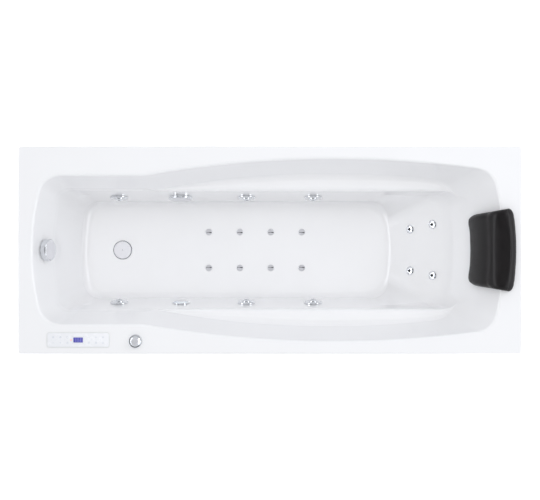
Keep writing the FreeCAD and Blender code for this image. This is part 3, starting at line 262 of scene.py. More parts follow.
def back_spot(z, y):
    """A fitting's place on the lower backrest, square to its conical face."""
    rise = (z - FLOOR) / (BREAK - FLOOR)
    arc_growth, reach_growth = HEAD_ARC_BREAK - HEAD_ARC_FLOOR, HEAD_BREAK - HEAD_FLOOR
    radius = HEAD_ARC_FLOOR + arc_growth * rise
    centre = HEAD_FLOOR + reach_growth * rise - radius
    turn = math.asin(y / radius)
    climb = (arc_growth + (reach_growth - arc_growth) * math.cos(turn)) / (BREAK - FLOOR)
    return aimed((centre + radius * math.cos(turn), y, z),
                 (-math.cos(turn), -math.sin(turn), climb), (0, 1, 0))


FLOOR_JET_FIRST, FLOOR_JET_PITCH, FLOOR_JET_SIDE = 119.6, 116.6, 67.5
OVERFLOW_DROP = 80                                      # overflow's middle under the rim
SIDE_JETS = [side_spot(x, side) for side in (1, -1) for x in (-549, -86, 157)]
FLOOR_JETS = [aimed((FLOOR_JET_FIRST - step * FLOOR_JET_PITCH, side * FLOOR_JET_SIDE, FLOOR),
                    (0, 0, 1)) for side in (1, -1) for step in range(4)]
BACK_JETS = [back_spot(z, side * y) for side in (1, -1) for z, y in ((247, 77), (310, 93))]
SUCTION, LIGHT = side_spot(-325, 1), side_spot(-325, -1)
DRAIN = aimed((-555, 0, FLOOR), (0, 0, 1))
OVERFLOW = aimed((OVERFLOW_DROP * math.tan(FOOT_LEAN) - FOOT_TOP, 0, TOP - OVERFLOW_DROP),
                 (math.cos(FOOT_LEAN), 0, math.sin(FOOT_LEAN)), (0, 1, 0))
AIR_KNOB = aimed((-453.6, -307.5, TOP), (0, 0, 1))


# ---------------------------------------------------------------- sizes and colours
def length(name, description, default, **more):
    """A size in metres that shows in the scene's own unit."""
    return FloatProperty(name=name, description=description, default=default, min=0.0,
                         unit="LENGTH", precision=4, **more)


def colour(name, description, code):
    """A colour whose default is an sRGB hex value, kept as linear red, green and blue."""
    return FloatVectorProperty(name=name, description=description, subtype="COLOR", size=3,
                               min=0.0, max=1.0, default=linear(code)[:3])


class TubSizes(bpy.types.PropertyGroup):
    rim_edge: length("Rim edge", "Rounding of the rim's outer edge", 0.005)
    lip: length("Lip", "Rounding where the rim turns down into the basin", 0.012)
    ledge_cove: length("Ledge cove", "Hollow rounding at the back of the armrest ledges", 0.025)
    ledge_nose: length("Ledge nose", "Rounding of the armrest ledges' inner edge", 0.018)
    break_bend: length("Back bend", "Bend where the backrest changes its slope", 0.15)
    floor_cove: length("Floor cove", "Hollow rounding round the basin's floor", 0.04)
    station_turn: FloatProperty(name="Station turn", description="Angle between two sections "
                                "of the shell round its ends", default=1.0, min=0.25, max=5.0)
    station_step: length("Station step", "Distance between two sections along the sides", 0.012)


class FittingSizes(bpy.types.PropertyGroup):
    segments: IntProperty(name="Segments", description="Sides of a turned fitting", default=72,
                          min=24, max=256)
    ring_flutes: IntProperty(name="Ring flutes", description="Flutes round each side jet",
                             default=18, min=6, max=60)
    grille_ribs: IntProperty(name="Grille ribs", description="Ribs on the suction fitting",
                             default=26, min=6, max=80)
    flute_width: length("Flute width", "Width of a flute on a side jet's ring", 0.0044)
    rib_width: length("Rib width", "Width of a rib on the suction fitting", 0.0028)


class CushionSizes(bpy.types.PropertyGroup):
    shrink: length("Shrink", "How much smaller than the solid the cover starts", 0.003)
    swell: length("Swell", "How far the filling may push the cover out", 0.005)
    voxel: length("Voxel", "Size of the cover's mesh before it is filled", 0.0045)
    pressure: FloatProperty(name="Pressure", description="Pressure of the filling", default=4.0,
                            min=0.0, max=20.0)
    grain: length("Grain", "Size of the cover's leather grain", 0.0022)


class Colours(bpy.types.PropertyGroup):
    acrylic: colour("Acrylic", "Moulded sanitary acrylic", "#f9f9fa")
    chrome: colour("Chrome", "Polished plated trim", "#e3e5e8")
    cushion: colour("Cushion", "Coated fabric of the head cushion", "#131011")
    display: colour("Display", "Lit display window", "#5553a0")
    panel: colour("Panel", "Control panel's film", "#f7f8fb")
    pipe: colour("Pipe", "Plastic pressure pipe", "#e6e6e2")
    steel: colour("Frame", "Galvanised frame", "#b9bcbf")
    board: colour("Board", "Chipboard under the floor", "#b99b6c")
    motor: colour("Motor", "Painted motor casing", "#20242a")


class StageSizes(bpy.types.PropertyGroup):
    camera_height: length("Camera height", "Camera above the rim", 3.5)
    frame_width: length("Frame width", "Width of the picture at the rim", 1.8225)
    sky: FloatProperty(name="Sky", description="Light from all round", default=0.78, min=0.0)
    panes: FloatProperty(name="Panes", description="Bright panes at both ends, seen only as "
                         "reflections in the coves", default=3.0, min=0.0)
    key_power: FloatProperty(name="Key light", description="Power of the overhead light",
                             default=52.0, min=0.0, subtype="POWER")
    side_power: FloatProperty(name="Side light", description="Power of the light from the side",
                              default=16.0, min=0.0, subtype="POWER")


def settings():
    """What holds the sizes and colours above."""
    return bpy.context.scene


# ---------------------------------------------------------------- finishes
MATERIALS = {}


def material(key):
    """One of the finishes below, made once."""
    if key not in MATERIALS:
        MATERIALS[key] = FINISHES[key]()
    return MATERIALS[key]


def tint(rgb, factor):
    """A linear colour as RGBA, made lighter or darker."""
    return [min(1.0, channel * factor) for channel in rgb] + [1.0]


def varied(name, base, spread, size_mm, rough, metallic=0.0, stretch=(1, 1, 1), extra=None,
           grain=None, glow=None):
    """A finish whose colour and roughness vary a little over a real size.

    base is a colour property or an sRGB hex value, grain is a bump's feature size and depth
    in millimetres with its strength, and glow is a hex value, or None for the finish's own
    colour, with a strength."""
    shade = linear(base)[:3] if isinstance(base, str) else base
    made, tree, shader = finish_of(name, "#ffffff", rough[0], metallic, extra)
    vector, mixed = mottled(tree, shader, (tint(shade, 1 - spread), tint(shade, 1 + spread)),
                            size_mm, rough, stretch)
    if grain:
        grained(tree, shader, vector, *grain)
    if glow:
        if glow[0] is None:
            tree.links.new(mixed, shader.inputs["Emission Color"])
        else:
            shader.inputs["Emission Color"].default_value = linear(glow[0])
        shader.inputs["Emission Strength"].default_value = glow[1]
    return made


def sanitary_acrylic():
    """Vacuum-formed acrylic: a deep white gloss with a barely seen waviness from forming."""
    return varied("moulded_acrylic", settings().bathtub_colours.acrylic, 0.008, 240,
                  (0.05, 0.08), grain=(90, 0.12, 0.35),
                  extra={"IOR": 1.49, "Coat Weight": 0.35, "Coat Roughness": 0.05})


def plated_chrome():
    """Chrome on moulded ABS: mirror bright, with faint swirls from wiping."""
    return varied("polished_chrome", settings().bathtub_colours.chrome, 0.03, 9, (0.05, 0.12),
                  1.0, grain=(14, 0.01, 0.2))


def satin_chrome():
    """Satin plating on the flat caps: pale and soft, so that it reads lighter than chrome."""
    return varied("satin_chrome", "#e2e2e6", 0.02, 5, (0.3, 0.38), 0.55, grain=(0.9, 0.01, 0.3))


def pale_cap_reflection():
    """Painted reflection on the drain's cap: a non-metal white as pale as the tub that its plating
    mirrors, a soft gloss, a hint of grey.
    """
    return varied("pale_cap_reflection", "#ececf0", 0.015, 6, (0.16, 0.24), extra={"IOR": 1.5},
                  grain=(3, 0.01, 0.2))


def shaded_openings():
    """Painted shade for the jets' eyes and the fittings' slots, gaps and notches: a dull, uneven
    near-black.
    """
    return varied("painted_recess_shade", "#15171a", 0.2, 3, (0.45, 0.6))


def frosted_lens():
    """Frosted polycarbonate: milky, with a faint painted glow for the light bleeding through its
    edge.
    """
    return varied("frosted_polycarbonate", "#f2f4f6", 0.02, 6, (0.25, 0.35),
                  extra={"Subsurface Weight": 0.15, "IOR": 1.58}, grain=(2.5, 0.05, 0.4),
                  glow=("#eef6ff", 0.08))


def panel_film():
    """Printed polyester film: a satin cool white, very finely textured."""
    return varied("panel_film", settings().bathtub_colours.panel, 0.008, 20, (0.22, 0.3),
                  grain=(0.8, 0.02, 0.25))


def icon_ink():
    """Pale grey printing on the film, slightly uneven as screen ink is."""
    return varied("icon_ink", "#ccd1db", 0.05, 1.5, (0.4, 0.5))


def lit_display():
    """A back-lit window: violet blue, a little uneven, as a lamp behind a film is."""
    return varied("lit_display", settings().bathtub_colours.display, 0.12, 7, (0.08, 0.14),
                  glow=(None, 0.35))


def display_marks():
    """Lit segments behind the window: pale and glowing."""
    return varied("display_segments", "#b9c0f0", 0.05, 3, (0.3, 0.35), glow=("#aab4ff", 0.5))


def red_lamp():
    """A lit red indicator under a clear dome."""
    return varied("indicator_red", "#d8352c", 0.08, 1.2, (0.1, 0.15), glow=("#ff3a2a", 0.8))


def coated_leather():
    """Polyurethane-coated cover: near black, fine pebbled grain, soft sheen on the crown."""
    return varied("coated_leather", settings().bathtub_colours.cushion, 0.16, 30, (0.4, 0.5),
                  extra={"IOR": 1.3, "Coat Weight": 0.12, "Coat Roughness": 0.14},
                  grain=(settings().bathtub_cushion.grain / MM, 0.35, 0.45, "cells"))


def cushion_thread():
    """Waxed thread of the cushion's seam: black, with a dull shine."""
    return varied("waxed_thread", "#1a1818", 0.2, 1.2, (0.5, 0.65), grain=(0.7, 0.08, 0.5))


def pressure_pipe():
    """Extruded PVC pipe: an even off-white with faint drawing lines."""
    return varied("extruded_pvc", settings().bathtub_colours.pipe, 0.035, 60, (0.32, 0.45),
                  grain=(3.5, 0.05, 0.3))


def black_plastic():
    """Glass-filled polyamide: dark grey with a fine moulded texture."""
    return varied("moulded_polyamide", "#1d1e20", 0.12, 12, (0.42, 0.55),
                  grain=(1.1, 0.06, 0.45))


def white_plastic():
    """Moulded ABS of the electronics box: light grey white, fine spark texture."""
    return varied("moulded_abs", "#e9eaea", 0.02, 30, (0.3, 0.4), grain=(1.2, 0.05, 0.35))


def galvanised_tube():
    """Hot-dip zinc on steel tube: grey with large soft spangles."""
    return varied("galvanised_steel", settings().bathtub_colours.steel, 0.12, 14, (0.3, 0.5),
                  0.85, grain=(6, 0.04, 0.3, "cells"))


def zinc_screw():
    """Bright zinc on turned steel: silver with a slight blue and fine tool marks."""
    return varied("bright_zinc", "#c9ced2", 0.06, 4, (0.22, 0.34), 1.0, (1, 1, 12),
                  grain=(1.4, 0.03, 0.3))


def chipboard():
    """Raw chipboard: tan flakes a few millimetres long, matt."""
    return varied("raw_chipboard", settings().bathtub_colours.board, 0.2, 5, (0.7, 0.85),
                  stretch=(1, 2.2, 1), grain=(2.4, 0.2, 0.5))


def motor_enamel():
    """Stoved enamel on cast aluminium: blue black, with orange-peel."""
    return varied("stoved_enamel", settings().bathtub_colours.motor, 0.1, 25, (0.3, 0.4),
                  grain=(1.8, 0.06, 0.4))


def ground_steel():
    """Ground steel of the rotor: bright with fine rings round its shaft."""
    return varied("ground_steel", "#b4b7ba", 0.08, 3, (0.2, 0.32), 1.0, (1, 14, 1))


def cable_jacket():
    """Extruded cable jacket: soft black rubber with a dusty bloom."""
    return varied("cable_jacket", "#151516", 0.18, 9, (0.5, 0.65), grain=(1.0, 0.05, 0.35))


FINISHES = {
    "acrylic": sanitary_acrylic, "chrome": plated_chrome, "satin": satin_chrome,
    # enamel: the drain cap's pale white, a painted reflection of the tub
    "enamel": pale_cap_reflection, "hole_shade": shaded_openings, "lens": frosted_lens, "film": panel_film,
    "ink": icon_ink, "display": lit_display, "segments": display_marks, "red": red_lamp,
    "leather": coated_leather, "thread": cushion_thread, "pipe": pressure_pipe,
    "black": black_plastic, "white": white_plastic, "steel": galvanised_tube,
    "zinc": zinc_screw, "board": chipboard, "motor": motor_enamel, "rotor": ground_steel,
    "cable": cable_jacket,
}


def dress(finish, *nodes):
    """Give carried-over solids a finish, in every slot of theirs."""
    for name in nodes:
        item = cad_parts[name]
        for holder in item.material_slots:
            holder.material = material(finish)
        if not item.material_slots:
            item.data.materials.append(material(finish))


def placed(piece, body, slot, *nodes):
    """Say what a finished piece moves with and stands for; its slot is not used."""
    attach(piece, body)
    if nodes:
        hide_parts(*nodes)


def settle(piece):
    """Replace a piece's mesh by its evaluated one and take its modifiers off."""
    graph = bpy.context.evaluated_depsgraph_get()
    mesh = bpy.data.meshes.new_from_object(piece.evaluated_get(graph))
    piece.modifiers.clear()
    piece.data = mesh


# ---------------------------------------------------------------- the moulded shell
SAMPLES = 160               # points along each arc of an outline
WALL = 6.0                  # thickness of the shell
FULL_ROUND = 90             # rounding where the ledge has run out and the walls just meet


def arc_points(centre, radius, start, end):
    """Points along an arc from start to end, the short way round."""
    first = math.atan2(start[1] - centre[1], start[0] - centre[0])
    last = math.atan2(end[1] - centre[1], end[0] - centre[0])
    if last - first > math.pi:
        first += 2 * math.pi
    if first - last > math.pi:
        last += 2 * math.pi
    return [(centre[0] + radius * math.cos(turn), centre[1] + radius * math.sin(turn))
            for turn in np.linspace(first, last, SAMPLES)]


def toward(centre, other, radius):
    """Where the line between two centres meets the circle of a radius about the first."""
    span = math.hypot(other[0] - centre[0], other[1] - centre[1])
    return (centre[0] + (other[0] - centre[0]) * radius / span,
            centre[1] + (other[1] - centre[1]) * radius / span)


def meeting(first, first_distance, second, second_distance):
    """The point at two distances from two centres, on the head side."""
    across, along = second[0] - first[0], second[1] - first[1]
    span = math.hypot(across, along)
    foot = (first_distance ** 2 - second_distance ** 2 + span ** 2) / (2 * span)
    rise = math.sqrt(max(first_distance ** 2 - foot ** 2, 0))
    base = (first[0] + foot * across / span, first[1] + foot * along / span)
    return max((base[0] - rise * along / span, base[1] + rise * across / span),
               (base[0] + rise * along / span, base[1] - rise * across / span))


def half_outline(foot, half_width, head, side=None):
    """Foot arc, corner, side, corner, head arc, as in the part, as a line of points."""
    foot_x, foot_arc, foot_corner = foot
    head_x, head_arc, head_corner = head
    foot_centre = (foot_x + foot_arc, 0.0)
    reach = math.sqrt((foot_arc - foot_corner) ** 2 - (half_width - foot_corner) ** 2)
    corner = (foot_centre[0] - reach, half_width - foot_corner)
    corner_start = toward(foot_centre, corner, foot_arc)
    side_start = (corner[0], half_width)
    points = arc_points(foot_centre, foot_arc, (foot_x, 0), corner_start)
    points += arc_points(corner, foot_corner, corner_start, side_start)
    head_centre = (head_x - head_arc, 0.0)
    if side is None:
        reach = math.sqrt((head_arc - head_corner) ** 2 - (half_width - head_corner) ** 2)
        corner = (head_centre[0] + reach, half_width - head_corner)
        side_end = (corner[0], half_width)
    else:
        side_centre, side_arc, blend = side
        blend_y = half_width + blend
        reach = math.sqrt((side_arc + blend) ** 2 - (blend_y - side_centre[1]) ** 2)
        blend_centre = (side_centre[0] - reach, blend_y)
        bend_start = (blend_centre[0], half_width)
        bend_end = toward(side_centre, blend_centre, side_arc)
        corner = meeting(head_centre, head_arc - head_corner,
                         side_centre, side_arc - head_corner)
        side_end = toward(side_centre, corner, side_arc)
        points += arc_points(blend_centre, blend, bend_start, bend_end)
        points += arc_points(side_centre, side_arc, bend_end, side_end)
    corner_end = toward(head_centre, corner, head_arc)
    points += arc_points(corner, head_corner, side_end, corner_end)
    points += arc_points(head_centre, head_arc, corner_end, (head_x, 0))
    return np.array(points)


def well_outline(z):
    """The foot well and the backrest at a height, without their rounding."""
    rise = (z - FLOOR) / (BREAK - FLOOR)
    over = max(z - BREAK, 0)
    if z <= BREAK:
        head = HEAD_FLOOR + (HEAD_BREAK - HEAD_FLOOR) * rise
    else:
        head = HEAD_BREAK + over * math.tan(HEAD_DRAFT)
    head_arc = HEAD_ARC_FLOOR + (HEAD_ARC_BREAK - HEAD_ARC_FLOOR) * min(rise, 1) + 0.5 * over
    foot = FOOT_FLOOR + (z - FLOOR) * math.tan(FOOT_DRAFT)
    foot_arc = 747 + 0.2 * (z - FLOOR)
    return half_outline((-foot, foot_arc, WELL_CORNER), side_at(z),
                        (head, head_arc, WELL_CORNER))


# the opening at the rim: its ends, their plan radii, its waist at the foot and its corners
OPENING_HEAD, OPENING_WAIST, OPENING_CORNER = 790, 251.6, 75
FOOT_ARC_CENTRE, HEAD_ARC = 850, 940
BULGE_X, BULGE_Y, BULGE_ARC, BULGE_BLEND = 213, 309, 3600, 300     # the wide part of the sides
OPENING_DRAFTS = (math.radians(16), math.radians(32.9), FOOT_LEAN)  # sides, head, foot
CORNER_GROWTH = 45          # how much rounder the head corners are at the ledges


def opening_outline(z):
    """The rim opening and the upper walls at a height, without their rounding."""
    drop = TOP - z
    side, head, foot = (drop * math.tan(draft) for draft in OPENING_DRAFTS)
    head_corner = OPENING_CORNER + CORNER_GROWTH * min(drop / (TOP - LEDGE), 1)
    return half_outline((foot - FOOT_TOP, FOOT_ARC_CENTRE - foot, OPENING_CORNER),
                        OPENING_WAIST - side, (OPENING_HEAD - head, HEAD_ARC - head, head_corner),
                        ((BULGE_X, BULGE_Y - BULGE_ARC), BULGE_ARC - side, BULGE_BLEND + side))


def rim_outline(inset, corner):
    """A quarter-rounded rectangle inset from the rim's edge, half of it."""
    x, y = HALF_LENGTH - inset, HALF_WIDTH - inset
    points = [(-x, 0)]
    points += arc_points((corner - x, y - corner), corner, (-x, y - corner), (corner - x, y))
    points += arc_points((x - corner, y - corner), corner, (x - corner, y), (x, y - corner))
    return np.array(points + [(x, 0)])


def reach_along(outline, start, heading):
    """How far from start an outline lies, along a heading."""
    offset = outline - start
    across = offset[:, 0] * heading[1] - offset[:, 1] * heading[0]
    along = offset[:, 0] * heading[0] + offset[:, 1] * heading[1]
    best = None
    for k in np.nonzero(across[:-1] * across[1:] <= 0)[0]:
        span = across[k] - across[k + 1]
        t = across[k] / span if abs(span) > 1e-12 else 0.5
        distance = along[k] + t * (along[k + 1] - along[k])
        if distance > 0 and (best is None or distance > best):
            best = distance
    if best is None:
        best = along[int(np.argmin(np.abs(across) + (along < 0) * 1e6))]
    return float(best)


STATION_FOOT, STATION_HEAD = -480.0, 230.0      # where the sections start to turn
RIM_CORNER_MIDDLE = 4.5                         # the rim's rounded corner, from its sharp one


def stations(turn_step, step):
    """Start points and headings of the sections round half the tub, foot to head."""
    found = []
    for x, low, high in ((STATION_FOOT, 90, 180), (STATION_HEAD, 0, 90)):
        corner = math.degrees(math.atan2(HALF_WIDTH - RIM_CORNER_MIDDLE,
                                         HALF_LENGTH - RIM_CORNER_MIDDLE - abs(x)))
        corner = 180 - corner if x < 0 else corner
        found += [(x, turn) for turn in np.arange(low, high + 1e-6, turn_step)]
        found += [(x, corner + offset) for offset in np.linspace(-1.2, 1.2, 13)]
    found += [(x, 90.0) for x in np.arange(STATION_FOOT + step, STATION_HEAD - step / 2, step)]
    found.sort(key=lambda item: (-item[1], item[0]))
    kept = []
    for x, turn in found:
        if not kept or abs(kept[-1][1] - turn) > 0.03 or abs(kept[-1][0] - x) > 0.5:
            kept.append((x, turn))
    return [(np.array((x, 0.0)), np.array((math.cos(math.radians(turn)),
                                           math.sin(math.radians(turn)))))
            for x, turn in kept]


MOST_RISE = 45.0            # how far above the ledges' height the walls may still cross
MOST_SPREAD = 14.0          # how far apart, up and down, a crossing's two points may lie


def crossing(upper_top, upper_low, lower_top, lower_low):
    """Ledge points of a section; where no ledge is left, points about the walls' crossing."""
    width = upper_low - lower_top
    upper_lean = (upper_top - upper_low) / (TOP - LEDGE)
    lower_lean = (lower_top - lower_low) / (LEDGE - BREAK)
    if width > 0:
        return (upper_low, LEDGE), (lower_top, LEDGE)
    rise = min(max(-width / max(upper_lean - lower_lean, 0.02), 0), MOST_RISE)
    z = LEDGE + rise
    spread = min(MOST_SPREAD, -width * 6)
    return ((upper_low + (rise + spread) * upper_lean, z + spread),
            (lower_top + (rise - spread) * lower_lean, z - spread))


def section_line(corners):
    """The points of a section's line from (corner, its rounding, faces in that rounding)."""
    return rounded([(s, z, 0) for (s, z), radius, steps in corners],
                   [radius for spot, radius, steps in corners],
                   [steps for spot, radius, steps in corners])


UNDER_LEDGE = LEDGE - 12    # height of the ledges' underside
FLOOR_RING = 0.74           # a ring of points on the floor, as a share of its reach
SKIRT_INSET = 5             # thickness of the rim's turned-down edge


def shell_mesh():
    """Points and faces of the shell: sections from the skirt over the rim down to the floor."""
    sizes = settings().bathtub_shell
    edge, lip, cove, nose_round, bend, floor_cove = (
        size / MM for size in (sizes.rim_edge, sizes.lip, sizes.ledge_cove, sizes.ledge_nose,
                               sizes.break_bend, sizes.floor_cove))
    outlines = {"rim": rim_outline(0, 9), "skirt": rim_outline(SKIRT_INSET, 4),
                "upper_top": opening_outline(TOP), "upper_low": opening_outline(LEDGE),
                "lower_top": well_outline(LEDGE), "lower_low": well_outline(BREAK),
                "floor": well_outline(FLOOR)}
    sections = []
    for start, heading in stations(sizes.station_turn, sizes.station_step / MM):
        at = {name: reach_along(outline, start, heading) for name, outline in outlines.items()}
        ledge, nose = crossing(at["upper_top"], at["upper_low"],
                               at["lower_top"], at["lower_low"])
        no_ledge = ledge[1] > LEDGE
        inner = section_line(
            [((at["rim"], SKIRT), 0, 0), ((at["rim"], TOP), edge, 6),
             ((at["upper_top"], TOP), lip, 8),
             (ledge, FULL_ROUND if no_ledge else cove, 8),
             (nose, FULL_ROUND if no_ledge else nose_round, 8),
             ((at["lower_low"], BREAK), bend, 8), ((at["floor"], FLOOR), floor_cove, 12),
             ((at["floor"] * FLOOR_RING, FLOOR), 0, 0), ((0, FLOOR), 0, 0)])
        low_lean = (at["lower_low"] - at["floor"]) / (BREAK - FLOOR)
        high_lean = (at["upper_top"] - at["upper_low"]) / (TOP - LEDGE)
        lower_grow = WALL * math.hypot(1, low_lean)
        upper_grow = WALL * math.hypot(1, high_lean)
        outer_low = at["lower_top"] + lower_grow - (LEDGE - UNDER_LEDGE) * low_lean
        outer_ledge = max(at["upper_low"] + upper_grow - (LEDGE - UNDER_LEDGE) * high_lean,
                          outer_low)
        outer = section_line(
            [((0, FLOOR - WALL), 0, 0),
             ((at["floor"] + lower_grow - WALL * low_lean, FLOOR - WALL), 12, 4),
             ((at["lower_low"] + lower_grow, BREAK), 60, 3), ((outer_low, UNDER_LEDGE), 4, 2),
             ((outer_ledge, UNDER_LEDGE), 6, 3),
             ((at["upper_top"] + upper_grow - WALL * high_lean, TOP - WALL), 6, 3),
             ((at["skirt"], TOP - WALL), 1, 1), ((at["skirt"], SKIRT), 0, 0)])
        sections.append([(start[0] + heading[0] * s, start[1] + heading[1] * s, z)
                         for s, z, unused in inner + outer])
    sections += [[(x, -y, z) for x, y, z in section] for section in reversed(sections)]
    count, around = len(sections[0]), len(sections)
    points = [point for section in sections for point in section]
    faces = []
    for k in range(around):
        following = (k + 1) % around
        for i in range(count):
            j = (i + 1) % count
            if i != len(inner) - 1:     # no wall between the two skins on the middle plane
                faces.append((k * count + i, k * count + j,
                              following * count + j, following * count + i))
    return points, faces


def cutter(items):
    """One mesh object of closed rods: (spot, radius, low, high) in millimetres."""
    rods = [turned([(0, low), (radius, low), (radius, high), (0, high)], spot, 48)
            for spot, radius, low, high in items]
    return merged("cutter", rods, "acrylic")


def cut(piece, tool):
    """Take one mesh away from another and drop the tool."""
    modifier = piece.modifiers.new("holes", "BOOLEAN")
    modifier.operation = "DIFFERENCE"
    modifier.solver = "EXACT"
    modifier.object = tool
    settle(piece)
    bpy.data.objects.remove(tool)
    work = bmesh.new()
    work.from_mesh(piece.data)
    crease(work, 32)
    work.to_mesh(piece.data)
    work.free()


class BATHTUB_OT_shell(bpy.types.Operator):
    """Model the moulded shell over its solid, with the fittings' holes"""
    bl_idname = "bathtub.shell"
    bl_label = "Moulded shell"

    def execute(self, context):
        points, faces = shell_mesh()
        shell = mesh_piece("moulded_shell", points, faces, "acrylic", 32)
        holes = [(spot, 24, -30, 20) for spot in SIDE_JETS]
        holes += [(SUCTION, 30.5, -30, 20), (LIGHT, 24.5, -30, 20), (DRAIN, 26, -20, 20),
                  (OVERFLOW, 26, -30, 20), (AIR_KNOB, 15, -20, 20)]
        holes += [(spot, 8.4, -20, 20) for spot in FLOOR_JETS]
        holes += [(spot, 11.4, -30, 20) for spot in BACK_JETS]
        cut(shell, cutter(holes))
        flat = shell.modifiers.new("flat_faces_lead", "WEIGHTED_NORMAL")
        flat.mode = "FACE_AREA"
        flat.keep_sharp = True
        settle(shell)
        placed(shell, "tub", "acrylic", "tub_shell")
        return {"FINISHED"}


# ---------------------------------------------------------------- turned fittings
def lathe(name, finish, outline, spots, radii=None, closed=False, segments=None):
    """One piece from a turned outline at each spot."""
    segments = segments or settings().bathtub_fittings.segments
    return merged(name, [turned(outline, spot, segments, radii, closed) for spot in spots],
                  finish)


def joined(name, pieces):
    """Merge finished pieces into one that keeps their materials."""
    mesh = bpy.data.meshes.new(name)
    work = bmesh.new()
    finishes = []
    for piece in pieces:
        start = len(work.faces)
        shift = {}
        for index, finish in enumerate(piece.data.materials):
            if finish not in finishes:
                finishes.append(finish)
            shift[index] = finishes.index(finish)
        work.from_mesh(piece.data)
        work.faces.ensure_lookup_table()
        for face in work.faces[start:]:
            face.material_index = shift.get(face.material_index, 0)
        bpy.data.objects.remove(piece)
    work.to_mesh(mesh)
    work.free()
    for finish in finishes:
        mesh.materials.append(finish)
    return linked(name, mesh)


def circle_tree(name, finish):
    """Oval bars set round a circle, each facing out from it, with their sizes as inputs."""
    tree = bpy.data.node_groups.new(name, "GeometryNodeTree")
    tree.interface.new_socket("Count", in_out="INPUT", socket_type="NodeSocketInt")
    for label in ("Radius", "Length", "Width", "Height", "Lift", "Tilt"):
        tree.interface.new_socket(label, in_out="INPUT", socket_type="NodeSocketFloat")
    tree.interface.new_socket("Geometry", in_out="OUTPUT", socket_type="NodeSocketGeometry")
    given = node(tree, "NodeGroupInput")
    circle = node(tree, "GeometryNodeMeshCircle", None,
                  {"Vertices": given.outputs["Count"], "Radius": given.outputs["Radius"]})
    size = node(tree, "ShaderNodeCombineXYZ", None,
                {"X": given.outputs["Length"], "Y": given.outputs["Width"],
                 "Z": given.outputs["Height"]})
    bar = node(tree, "GeometryNodeMeshUVSphere", None, {"Segments": 12, "Rings": 8,
                                                        "Radius": 0.5})
    sized = node(tree, "GeometryNodeTransform", None,
                 {"Geometry": bar.outputs["Mesh"], "Scale": size.outputs["Vector"]})
    place = node(tree, "GeometryNodeInputPosition")
    facing = node(tree, "FunctionNodeAlignRotationToVector", {"axis": "X", "pivot_axis": "Z"},
                  {"Vector": place.outputs["Position"]})
    lean = node(tree, "ShaderNodeCombineXYZ", None, {"Y": given.outputs["Tilt"]})
    leaning = node(tree, "FunctionNodeEulerToRotation", None, {"Euler": lean.outputs["Vector"]})
    whole = node(tree, "FunctionNodeRotateRotation", {"rotation_space": "LOCAL"},
                 {"Rotation": facing.outputs["Rotation"],
                  "Rotate By": leaning.outputs["Rotation"]})
    spread = node(tree, "GeometryNodeInstanceOnPoints", None,
                  {"Points": circle.outputs["Mesh"], "Instance": sized.outputs["Geometry"],
                   "Rotation": whole.outputs["Rotation"]})
    rise = node(tree, "ShaderNodeCombineXYZ", None, {"Z": given.outputs["Lift"]})
    lifted = node(tree, "GeometryNodeTransform", None,
                  {"Geometry": spread.outputs["Instances"], "Translation": rise.outputs["Vector"]})
    real = node(tree, "GeometryNodeRealizeInstances", None,
                {"Geometry": lifted.outputs["Geometry"]})
    smooth = node(tree, "GeometryNodeSetShadeSmooth", None,
                  {"Geometry": real.outputs["Geometry"]})
    dressed = node(tree, "GeometryNodeSetMaterial", None,
                   {"Geometry": smooth.outputs["Geometry"], "Material": material(finish)})
    node(tree, "NodeGroupOutput", None, {"Geometry": dressed.outputs["Geometry"]})
    return tree


def round_circle(name, finish, spots, **inputs):
    """The bars of circle_tree at each spot, as one plain mesh; lengths in millimetres."""
    tree = circle_tree(name + "_tree", finish)
    carrier = linked(name + "_carrier", bpy.data.meshes.new(name))
    modifier = carrier.modifiers.new("bars", "NODES")
    modifier.node_group = tree
    for item in tree.interface.items_tree:
        if item.in_out == "INPUT":
            key = item.name.lower()
            value = inputs[key]
            modifier[item.identifier] = value if key in ("count", "tilt") else value * MM
    settle(carrier)
    work = bmesh.new()
    for spot in spots:
        start = len(work.verts)
        work.from_mesh(carrier.data)
        work.verts.ensure_lookup_table()
        turn = spot.copy()
        turn.translation = spot.translation * MM
        bmesh.ops.transform(work, matrix=turn, verts=work.verts[start:])
    bpy.data.objects.remove(carrier)
    mesh = bpy.data.meshes.new(name)
    work.to_mesh(mesh)
    work.free()
    mesh.materials.append(material(finish))
    return linked(name, mesh)


class BATHTUB_OT_side_jets(bpy.types.Operator):
    """Turn the side jets' fluted rings and their swivelling nozzles"""
    bl_idname = "bathtub.side_jets"
    bl_label = "Side jets"

    def execute(self, context):
        sizes = settings().bathtub_fittings
        ring = [(16.35, 0.4), (16.35, 4.2), (21, 7.2), (25.5, 8), (29.5, 7.4), (32.4, 4.2),
                (32.4, 0.4)]
        rings = lathe("jet_ring", "chrome", ring, SIDE_JETS, [0, 0.8, 3, 3, 3, 2, 0.5], True)
        flutes = round_circle("jet_flutes", "chrome", SIDE_JETS, count=sizes.ring_flutes,
                              radius=29.4, length=6.4, width=sizes.flute_width / MM,
                              height=1.9, lift=6.5, tilt=0.62)
        placed(joined("side_jet_fluted_rings", [rings, flutes]), "tub", "chrome_trim",
               "side_jet_rings")
        nose = [(0, 5), (6.5, 5), (6.5, 15), (10.4, 15), (12.6, 12.8), (15.2, 8.6),
                (15.95, 4.5), (15.2, -0.5), (11, -6), (11, -13), (0, -13)]
        soft = [0, 0, 0.6, 0.8, 4, 5, 6, 5, 2, 0.5, 0]
        for number, spot in enumerate(SIDE_JETS, start=1):
            nozzle = lathe("nozzle_shell", "chrome", nose, [spot], soft)
            # a dark lining in the nozzle's eye: painted shade in its opening
            hole_shade = lathe("nozzle_bore", "hole_shade", [(0, 5.1), (6.2, 5.1), (6.45, 5.6),
                                                 (6.45, 13.2), (6.3, 13.2), (6.0, 6.2),
                                                 (0, 6.2)], [spot])
            placed(joined("side_jet_eye_%d" % number, [nozzle, hole_shade]), "nozzle_%d" % number,
                   "chrome_trim", "side_jet_nozzle_%d" % number)
        return {"FINISHED"}


